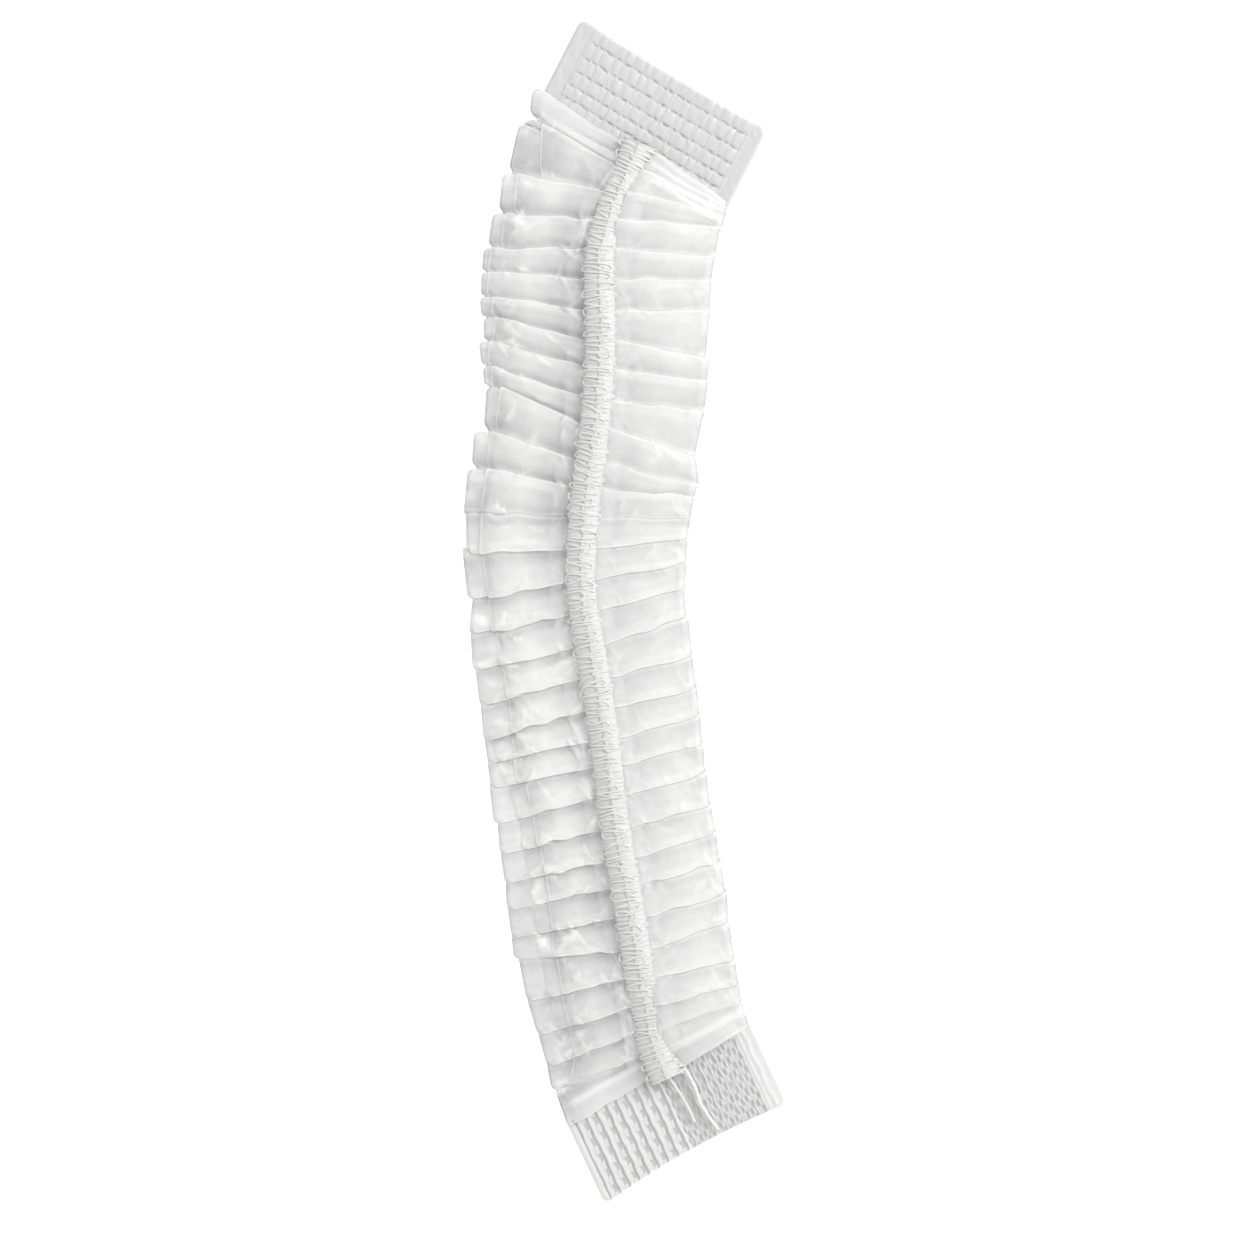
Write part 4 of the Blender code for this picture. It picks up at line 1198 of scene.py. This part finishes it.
def closed_tube(name, rings):
    """A mesh round rings of points, with a cap on each end."""
    tube = grid_mesh(name, rings, closed=True)
    mesh = bmesh.new()
    mesh.from_mesh(tube.data)
    mesh.verts.ensure_lookup_table()
    count = rings.shape[1]
    mesh.faces.new([mesh.verts[k] for k in range(count)])
    mesh.faces.new([mesh.verts[len(mesh.verts) - 1 - k] for k in range(count)])
    bmesh.ops.recalc_face_normals(mesh, faces=mesh.faces)
    mesh.to_mesh(tube.data)
    mesh.free()
    return tube


left_elastic = closed_tube("left_elastic_thread", thread_points("left_elastic", -1))
right_elastic = closed_tube("right_elastic_thread", thread_points("right_elastic", 1))
report(left_elastic, right_elastic)

# %% [markdown]
# The thread is wound with white fibre: a hard white with a dull sheen and a fine grain.

# %% Wound fibre
FIBRE_GRAIN = 0.25 * MM


def wound_fibre(tree):
    """The shader of white fibre wound round rubber."""
    return node(tree, "ShaderNodeBsdfPrincipled", {
        "Base Color": linear("#E4E4E1"), "Roughness": 0.5,
        "Normal": grained(tree, FIBRE_GRAIN, 2.0, 0.3, 0.08),
    })


def finish(material, *pieces):
    """Give pieces their material."""
    for piece in pieces:
        piece.data.materials.append(material)
    print(material.name, "on", ", ".join(piece.name for piece in pieces))


finish(new_material("wound white fibre", wound_fibre), left_elastic, right_elastic)

# %% [markdown]
# ## The end welds
#
# At each end all the layers are pressed between two hot embossed jaws. The upper jaw leaves rows of little
# pillows between thin ridges, with a slot under each pillow. The lower end has bold ribs on the left and
# fine ones on the right. A weld is a height map on its own two axes: `u` runs along the outer edge and `v`
# from the film's flap out to that edge.

# %% Helpers for embossing


def ridge(distance, width):
    """1 on a line, and 0 from a width away."""
    return ease(1 - np.abs(distance) / width)


def box(value, low, high, soft):
    """1 between two values, with soft sides."""
    return ease((value - low) / soft + 0.5) * ease((high - value) / soft + 0.5)


# %% [markdown]
# The upper weld is a field of pillows in rows and columns with a plain border at both ends. Each place
# belongs to one cell. In it the film swells up between thin ridges, and at the cell's edge the jaw has left
# a short slot. The slots, the row lines and the low film between the pillows are painted darker, for their
# shade and for the thinner film pressed there. Random numbers from the same table make the cells uneven, as
# the photograph shows them.

# %% The emboss pattern of the upper weld
PILLOW_ROWS = np.array((0.0, 2.95, 6.10, 9.05, 11.80, 14.20, 16.80, 20.0))
PILLOW_PITCH = 1.90
PILLOW_FIELD = (-17.0, 17.4)
PILLOW_PLATE = 0.52          # height of the plain film, in millimetres like all the sizes here
PUFF_HEIGHT = 0.34           # a pillow stands so much higher, and a slot lies so much lower
SEAM_HEIGHT = 0.16
SEAM_WIDTH = 0.26
SLOT_FROM = 1.2              # the row at the outer edge starts without slots
SLOT_REACH = 0.20            # half the length of a slot, as a share of the pitch
SLOT_WIDTH = 0.27
PILLOW_PRESS = 0.76


def pillows(u, v, reach):
    """Height and pressed share with painted shade of the upper weld, with u and v in millimetres."""
    inward = reach - v
    row = np.clip(np.searchsorted(PILLOW_ROWS, inward, side="right") - 1, 0, len(PILLOW_ROWS) - 2)
    start, end = PILLOW_ROWS[row], PILLOW_ROWS[row + 1]
    way = (inward - start) / (end - start)
    lean = 0.25 * np.sin(0.35 * u + row) + 0.12 * cell_random(row, np.round(u / 9), 2)
    across = (u - PILLOW_FIELD[0] + lean * way + 0.22 * np.sin(1.3 * u)) / PILLOW_PITCH
    cell = np.floor(across)
    across = across - cell
    field = box(u, *PILLOW_FIELD, 0.4)
    puff = np.sqrt(np.clip(np.sin(math.pi * across), 0, 1)) * (0.75 + 0.25 * cell_random(row, cell, 4))
    swell = np.clip(np.sin(math.pi * np.clip(way, 0, 1)), 0, 1) ** 0.4
    tilt = 0.10 * (across - 0.5) * cell_random(row, cell, 9)
    half = np.round(across * 2)
    seam = ridge((across - 0.5 * half) * PILLOW_PITCH, SEAM_WIDTH) * (half % 2 == 0)
    seam_height = SEAM_HEIGHT * seam * (0.7 + 0.6 * cell_random(row, cell, 6))
    slot_at = 0.5 + 0.22 * cell_random(row, cell, 7)
    to_start = inward - start + 0.12 * cell_random(0, cell, 3)
    to_end = end - inward + 0.12 * cell_random(1, cell, 3)
    to_line = np.minimum(to_start, to_end)
    slot = box(across, slot_at - SLOT_REACH, slot_at + SLOT_REACH, 0.12) * ridge(to_line, SLOT_WIDTH)
    slot = slot * (inward > SLOT_FROM) * (0.75 + 0.25 * cell_random(cell, row, 1))
    line = ridge(to_line, 0.5) * (inward > SLOT_FROM)
    height = PILLOW_PLATE + field * (PUFF_HEIGHT * puff * swell * (1 - 0.35 * line) + tilt + seam_height)
    height = height - field * PUFF_HEIGHT * slot
    crinkle = facets(u * MM, v * 0.6 * MM, 1.1 * MM, 21) * 0.06 * (1 - field)
    # Painted shade in the slots, along the row lines and off the pillows, which also stands for the thinner
    # film pressed there.
    pressing_and_shade = np.clip(0.24 * slot + 0.08 * line + 0.12 * (1 - puff) - 0.05, -0.1, 0.24)
    return height + crinkle + facets(u * MM, v * MM, 0.8 * MM, 23) * 0.03, PILLOW_PRESS + field * pressing_and_shade


print(round((PILLOW_FIELD[1] - PILLOW_FIELD[0]) / PILLOW_PITCH), "pillows in a row")

# %% [markdown]
# On the left of the lower weld are bold straight ribs. Each has a steep side with a painted highlight along
# it and, on the other side, square teeth with pits between them. On the right are thin threads with little
# pads between, which are set off by half a step from one row to the next, like a weave. The right border is
# plain, with two soft creases along it. Between the ribs, threads and pads the film is painted darker, for
# the shade there and for the thinner film pressed there.

# %% The emboss pattern of the lower weld
RIB_PLATE = 0.42             # height of the film between the ribs, in millimetres like all the sizes here
BOLD_PITCH = 2.12
BOLD_FIELD = (0.3, 18.2)
BOLD_HEIGHT = 0.46
TOOTH_PITCH = 3.2            # from one tooth of a bold rib to the next
FINE_PITCH = 1.62
FINE_FIELD = (-15.4, 0.3)
FINE_HEIGHT = 0.40
PAD_PITCH = 2.75             # from one pad between two threads to the next
PAD_HEIGHT = 0.32
BORDER_HEIGHT = 0.28
BORDER_CREASES = ((-17.2, 0.8, 0.16), (-16.2, 0.5, 0.12))    # the place, width and height of each


def ribs(u, v, reach):
    """Height and pressed share with painted light and shade of the lower weld, u and v in millimetres, u to
    the left.
    """
    inward = reach - v
    bold = box(u, *BOLD_FIELD, 0.5)
    fine = box(u, *FINE_FIELD, 0.5)
    wave = 0.05 * np.sin(2 * math.pi * inward / TOOTH_PITCH) + 0.07 * np.sin(0.6 * inward + u)
    rib_place = (u - BOLD_FIELD[0] + wave) / BOLD_PITCH
    cell = np.round(rib_place)
    off = (rib_place - cell) * BOLD_PITCH
    tooth_way = inward / TOOTH_PITCH + 0.10 * cell_random(cell, 1, 5)
    tooth_at = tooth_way - np.round(tooth_way)
    body = ease((0.66 - off) / 0.30) * ease((off + 0.50) / 0.32)
    body = body * (0.92 + 0.08 * cell_random(cell, np.round(tooth_way), 8))
    tooth = box(off, -1.02, -0.20, 0.26) * box(tooth_at, -0.27, 0.27, 0.14)
    tooth = tooth * (0.82 + 0.12 * cell_random(cell, np.round(tooth_way), 12))
    rib = np.maximum(body, tooth)
    stagger = (np.round((u - FINE_FIELD[0]) / FINE_PITCH) % 2) * 0.5
    fine_place = (u - FINE_FIELD[0] + 0.10 * np.sin(1.7 * inward + 0.8 * u)) / FINE_PITCH
    fine_cell, fine_gap = np.round(fine_place), np.floor(fine_place)
    fine_off = (fine_place - fine_cell) * FINE_PITCH
    thread = ridge(fine_off, 0.30) * (0.8 + 0.3 * cell_random(fine_cell, np.round(inward / 4), 3))
    pad_way = inward / PAD_PITCH + stagger + 0.15 * cell_random(fine_gap, 2, 6)
    pad = ease(1.3 * (0.5 + 0.5 * np.cos(2 * math.pi * pad_way)) - 0.15)
    pad = np.clip(np.sin(math.pi * (fine_place - fine_gap)), 0, 1) ** 0.5 * pad
    pad = pad * (0.7 + 0.3 * cell_random(fine_gap, np.round(pad_way), 4))
    border = (1 - bold) * (1 - fine)
    (outer, wide, high), (inner, narrow, low) = BORDER_CREASES
    crease = ridge(u - outer + 0.15 * np.sin(inward), wide) * high + ridge(u - inner, narrow) * low
    fine_height = np.maximum(FINE_HEIGHT * thread, PAD_HEIGHT * pad)
    height = RIB_PLATE + bold * (BOLD_HEIGHT * rib) + fine * fine_height + border * (BORDER_HEIGHT + crease)
    # A painted highlight streak along each bold rib's steep side, and painted shade between the ribs, threads
    # and pads, which also stands for the thinner film pressed there.
    highlight_streak = ease((0.70 - off) / 0.20) * ease((off + 0.05) / 0.25)
    in_bold = 0.48 * (1 - highlight_streak) + 0.46 * np.clip(1 - rib * 1.6, 0, 1)
    in_fine = 0.62 + 0.38 * np.clip(1 - np.maximum(thread, pad) * 1.6, 0, 1)
    press_and_shade = bold * in_bold + fine * in_fine + 0.30 * border
    return height + facets(u * MM, v * 0.7 * MM, 0.9 * MM, 25) * 0.04, press_and_shade


print(round((BOLD_FIELD[1] - BOLD_FIELD[0]) / BOLD_PITCH), "bold ribs and",
      round((FINE_FIELD[1] - FINE_FIELD[0]) / FINE_PITCH), "fine threads")

# %% [markdown]
# The height map becomes a closed mesh: a grid on top, a wall round its rim and one flat face below. The
# corners are rounded by pulling the corner squares of the grid into quarter discs. How hard each spot is
# pressed is kept in an attribute, because pressed film is thinner and looks darker, and the same attribute
# carries the pattern's painted shade and highlights.

# %% Make both welds
WELD_GRID = 0.135
WELD_CORNER = 1.7
RIM_HEIGHT = 0.16
RIM_WIDTH = 0.5              # the film rises from its rim to its full height over this width
WELD_FOOT = 0.02             # height of the flat side below
WeldShape = namedtuple("WeldShape", "weld pattern shear sag")
WELD_SHAPES = {
    "top_end_weld": WeldShape(TOP_WELD, pillows, -0.067, 0.45),
    "bottom_end_weld": WeldShape(BOTTOM_WELD, ribs, 0.067, 1.25),
}


def rounded_corners(u, v, half, reach, overlap):
    """A grid with each corner square pulled into a quarter disc."""
    for end in (-1, 1):
        for side in (-1, 1):
            centre_u = end * (half - WELD_CORNER)
            centre_v = reach - WELD_CORNER if side > 0 else WELD_CORNER - overlap
            du, dv = (u - centre_u) * end, (v - centre_v) * side
            inside = (du > 0) & (dv > 0)
            shrink = np.where(inside, np.maximum(du, dv) / np.maximum(np.hypot(du, dv), 1e-9), 1)
            u = np.where(inside, centre_u + du * shrink * end, u)
            v = np.where(inside, centre_v + dv * shrink * side, v)
    return u, v


def make_weld(name):
    """A weld as a closed mesh with its embossing."""
    shape = WELD_SHAPES[name]
    half, reach, overlap = shape.weld.length / MM / 2, shape.weld.reach / MM, shape.weld.overlap / MM
    u = np.linspace(-half, half, int(2 * half / WELD_GRID))[None, :]
    v = np.linspace(-overlap, reach, int((reach + overlap) / WELD_GRID))[:, None]
    u, v = rounded_corners(u + 0 * v, v + 0 * u, half, reach, overlap)
    past_u, past_v = np.maximum(np.abs(u) - half + WELD_CORNER, 0), np.maximum(v - reach + WELD_CORNER, 0)
    rim = np.minimum(half - np.abs(u), np.minimum(reach - v, v + overlap))
    rim = np.minimum(rim, WELD_CORNER - np.hypot(past_u, past_v))
    height, press_and_shade = shape.pattern(u, v, reach)
    height = RIM_HEIGHT + (height - RIM_HEIGHT) * ease(np.clip(rim, 0, RIM_WIDTH) / RIM_WIDTH)
    v_bent = v - shape.sag * (1 - (u / half) ** 2) * np.clip(v / reach, 0, 1) ** 2
    u = u + shape.shear * v
    middle, along, out = weld_axes(shape.weld)
    x, y = (middle[k] + (along[k] * u + out[k] * v_bent) * MM for k in (0, 1))
    top = np.stack([x, y, height * MM], -1).reshape(-1, 3)
    index = np.arange(u.size).reshape(u.shape)
    faces = np.stack([index[:-1, :-1], index[:-1, 1:], index[1:, 1:], index[1:, :-1]], -1)
    faces = faces.reshape(-1, 4).tolist()
    rim_points = np.concatenate([index[0, :-1], index[:-1, -1], index[-1, :0:-1], index[:0:-1, 0]]).tolist()
    below = top[rim_points] * [1, 1, 0] + [0, 0, WELD_FOOT * MM]
    foot = list(range(len(top), len(top) + len(below)))
    walls = zip(rim_points, foot, foot[1:] + foot[:1], rim_points[1:] + rim_points[:1])
    faces += [list(wall) for wall in walls] + [foot[::-1]]
    mesh = mesh_of(name, top.tolist() + below.tolist(), [], faces)
    store(mesh, "pressed", np.concatenate([press_and_shade.reshape(-1), np.zeros(len(below))]))
    return add_object(name + "_film", mesh)


top_end_weld = make_weld("top_end_weld")
bottom_end_weld = make_weld("bottom_end_weld")
report(top_end_weld, bottom_end_weld)

# %% [markdown]
# Many layers melted together are clearer than loose film, so the ground shows through and makes them
# greyer. The harder the jaw pressed, the thinner and darker the film is. Melted film is also smoother, so
# it shines more. The shader reads how hard each place was pressed from the attribute, together with the
# painted shade in the slots and grooves and the painted highlight along the bold ribs, and a fine grain
# stands for the jaw's surface.

# %% Pressed film
PRESSED_GRAIN = 0.33 * MM


def pressed_film(tree):
    """The shader of film melted together: clearer and darker where the jaw pressed hardest, with painted
    light and shade.
    """
    pressed = node(tree, "ShaderNodeAttribute", attribute_name="pressed", output="Fac")
    tone = node(tree, "ShaderNodeMix", {
        0: pressed, 6: linear("#E6E6E5"), 7: linear("#C0C0C0"),
    }, output=2, data_type="RGBA")
    return node(tree, "ShaderNodeBsdfPrincipled", {
        "Base Color": tone, "Roughness": 0.3, "Normal": grained(tree, PRESSED_GRAIN, 3.0, 0.25, 0.1),
    })


finish(new_material("pressed polyethylene film", pressed_film), top_end_weld, bottom_end_weld)

# %% [markdown]
# ## The camera and the light
#
# The photograph looks straight down on a white ground that is lit until it is nearly pure white. A long
# lens keeps the sides from showing. The sky gives soft light from everywhere, and one large soft box at the
# right gives the ruffles their shade and the film its sheen.

# %% Floor, camera and light
FRAMED = PHOTO_SIZE / PIXELS_PER_MM * MM
FRAMED_HEIGHT = 4 * MM       # half way up the pack: there the picture is as wide as the photograph
SENSOR = 36.0
LENS = 200.0
FLOOR_HALF = 2.0
BOX_SIZE = (0.40, 0.60)
BOX_PLACE = (0.60, 0.38, 0.55)
BOX_WATTS = 4.8
SKY_STRENGTH = 0.88

corners = [(x * FLOOR_HALF, y * FLOOR_HALF, 0) for x, y in ((-1, -1), (1, -1), (1, 1), (-1, 1))]
floor_mesh = mesh_of("pale_floor", corners, [], [(0, 1, 2, 3)])
floor = add_object("pale_floor", floor_mesh)

camera_data = bpy.data.cameras.new("overhead_camera")
camera_data.lens = LENS
camera_data.sensor_width = SENSOR
camera = add_object("overhead_camera", camera_data)
camera.location = (
    float(metres_x(PHOTO_SIZE / 2)), float(metres_y(PHOTO_SIZE / 2)), FRAMED * LENS / SENSOR + FRAMED_HEIGHT,
)
bpy.context.scene.camera = camera

box_data = bpy.data.lights.new("soft_box", "AREA")
box_data.shape = "RECTANGLE"
box_data.size, box_data.size_y = BOX_SIZE
box_data.energy = BOX_WATTS
soft_box = add_object("soft_box", box_data)
soft_box.location = BOX_PLACE
soft_box.rotation_euler = Vector(BOX_PLACE).to_track_quat("Z", "Y").to_euler()

world = bpy.data.worlds.new("studio_white")
world.use_nodes = True
sky = world.node_tree.nodes["Background"]
sky.inputs["Color"].default_value = (1, 1, 1, 1)
sky.inputs["Strength"].default_value = SKY_STRENGTH
bpy.context.scene.world = world
bpy.context.scene.view_settings.view_transform = "Standard"
print("Camera", round(camera.location.z, 3), "m above the floor, framing", round(FRAMED / MM, 1), "mm")

# %% [markdown]
# The cap is blown polyethylene film, a tube of plastic blown up like a balloon and slit. It is milky, not
# clear. Part of the light passes through a layer and comes back from the next one, so a translucent part is
# mixed in, and the layers below show faintly. Blown film has cloudy streaks a few millimetres wide and a
# soft sheen, and handling leaves wrinkles finer than the mesh can show, which a bump map adds.

# %% Blown polyethylene film
CLOUD_SIZE = 3.8 * MM
CLOUD_STRENGTH = 0.5
MILK_AND_LIGHT_SHARE = (0.6, 0.22)      # from the stored number to the share of the whiter tone: times, plus
WRINKLE_SIZE = 0.67 * MM
WRINKLE_STRETCH = (0.35, 1.0, 1.0)
WRINKLE_DEPTH = 0.3 * MM
OPACITY = 0.80
GLOW_SHARE = 0.40


def blown_film(tree):
    """The shader of milky film with fine wrinkles, which lets some light through."""
    at = node(tree, "ShaderNodeTexCoord", output="Object")
    # The stored number holds the film's milkiness together with its painted light and shade.
    milk = node(tree, "ShaderNodeAttribute", attribute_name="milkiness", output="Fac")
    clouds = node(tree, "ShaderNodeTexNoise", {
        "Vector": at, "Scale": 1 / CLOUD_SIZE, "Detail": 4.0, "Roughness": 0.6,
    }, output="Fac")
    cloudy = node(tree, "ShaderNodeMath", {0: clouds, 1: CLOUD_STRENGTH, 2: milk}, operation="MULTIPLY_ADD")
    share = node(tree, "ShaderNodeMath", {
        0: cloudy, 1: MILK_AND_LIGHT_SHARE[0], 2: MILK_AND_LIGHT_SHARE[1],
    }, operation="MULTIPLY_ADD", use_clamp=True)
    tone = node(tree, "ShaderNodeMix", {
        0: share, 6: linear("#C2C2C5"), 7: linear("#FFFFFE"),
    }, output=2, data_type="RGBA")
    stretch = node(tree, "ShaderNodeMapping", {"Vector": at, "Scale": WRINKLE_STRETCH})
    wrinkles = node(tree, "ShaderNodeTexNoise", {
        "Vector": stretch, "Scale": 1 / WRINKLE_SIZE, "Detail": 5.0, "Roughness": 0.65, "Distortion": 0.6,
    }, output="Fac")
    bump = node(tree, "ShaderNodeBump", {"Height": wrinkles, "Strength": 0.38, "Distance": WRINKLE_DEPTH})
    shader = node(tree, "ShaderNodeBsdfPrincipled", {
        "Base Color": tone, "Roughness": 0.30, "Alpha": OPACITY, "Normal": bump,
    })
    glow = node(tree, "ShaderNodeBsdfTranslucent", {"Color": tone, "Normal": bump})
    return node(tree, "ShaderNodeMixShader", {0: GLOW_SHARE, 1: shader, 2: glow})


finish(new_material("blown polyethylene film", blown_film), left_top, right_top, left_below, right_below)

# %% [markdown]
# The ground in the photograph is matt white paper, lit until it is almost pure white. A matt white with a
# little glow of its own gives that without any strong lamp, which would burn out the film as well.

# %% Floor finish


def paper_ground(tree):
    """The shader of white paper, lit so brightly that it glows."""
    return node(tree, "ShaderNodeBsdfPrincipled", {
        "Base Color": linear("#F8F8F8"), "Roughness": 0.9, "Specular IOR Level": 0.0,
        "Emission Color": (1.0, 1.0, 1.0, 1.0), "Emission Strength": 0.55,
    })


finish(new_material("white paper ground", paper_ground), floor)

# %% [markdown]
# ## How the pieces belong together
#
# The film is one sheet, cut to size before the elastics gathered it. Here it is four pieces: the top layer
# and the layers below it, on each side of the slit. Each is listed with the size of its part when pulled
# flat, and the script prints how much of that flat area its mesh covers. The length is that of the film along
# a side, with its pleats pulled straight, and a width is the way across all the layers of that piece.

WEB_LENGTH = 0.23
Sheet = namedtuple("Sheet", "piece width held")
SHEETS = (
    Sheet(left_top, 0.0205, "gathered"), Sheet(right_top, 0.019, "gathered"),
    Sheet(left_below, 0.074, "folded"), Sheet(right_below, 0.055, "folded"),
)
LIES_ON = {left_top.name: [left_below], right_top.name: [right_below]}
for sheet in SHEETS:
    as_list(LIES_ON.get(sheet.piece.name, []))
    share = surface(sheet.piece) / sheet.width / WEB_LENGTH
    print(sheet.piece.name, "is", round(share, 2), "of its flat area")

# %% [markdown]
# Nothing on the cap moves by itself, so all pieces ride on the one body. Each stands for the plain solid of
# the same part, which is hidden. The table also names each part's material slot, which nothing here reads.

# %% Ride and hide the solids
STANDS_FOR = (
    (left_top, "pleated_film", "film"), (right_top, "pleated_film", "film"),
    (left_below, "pleated_film", "film"), (right_below, "pleated_film", "film"),
    (left_hem, "left_hem", "hem"), (right_hem, "right_hem", "hem"),
    (left_elastic, "left_elastic", "elastic"), (right_elastic, "right_elastic", "elastic"),
    (top_end_weld, "top_end_weld", "weld"), (bottom_end_weld, "bottom_end_weld", "weld"),
)
for piece, cad_node, slot in STANDS_FOR:
    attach(piece, "root")
    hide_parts(cad_node)
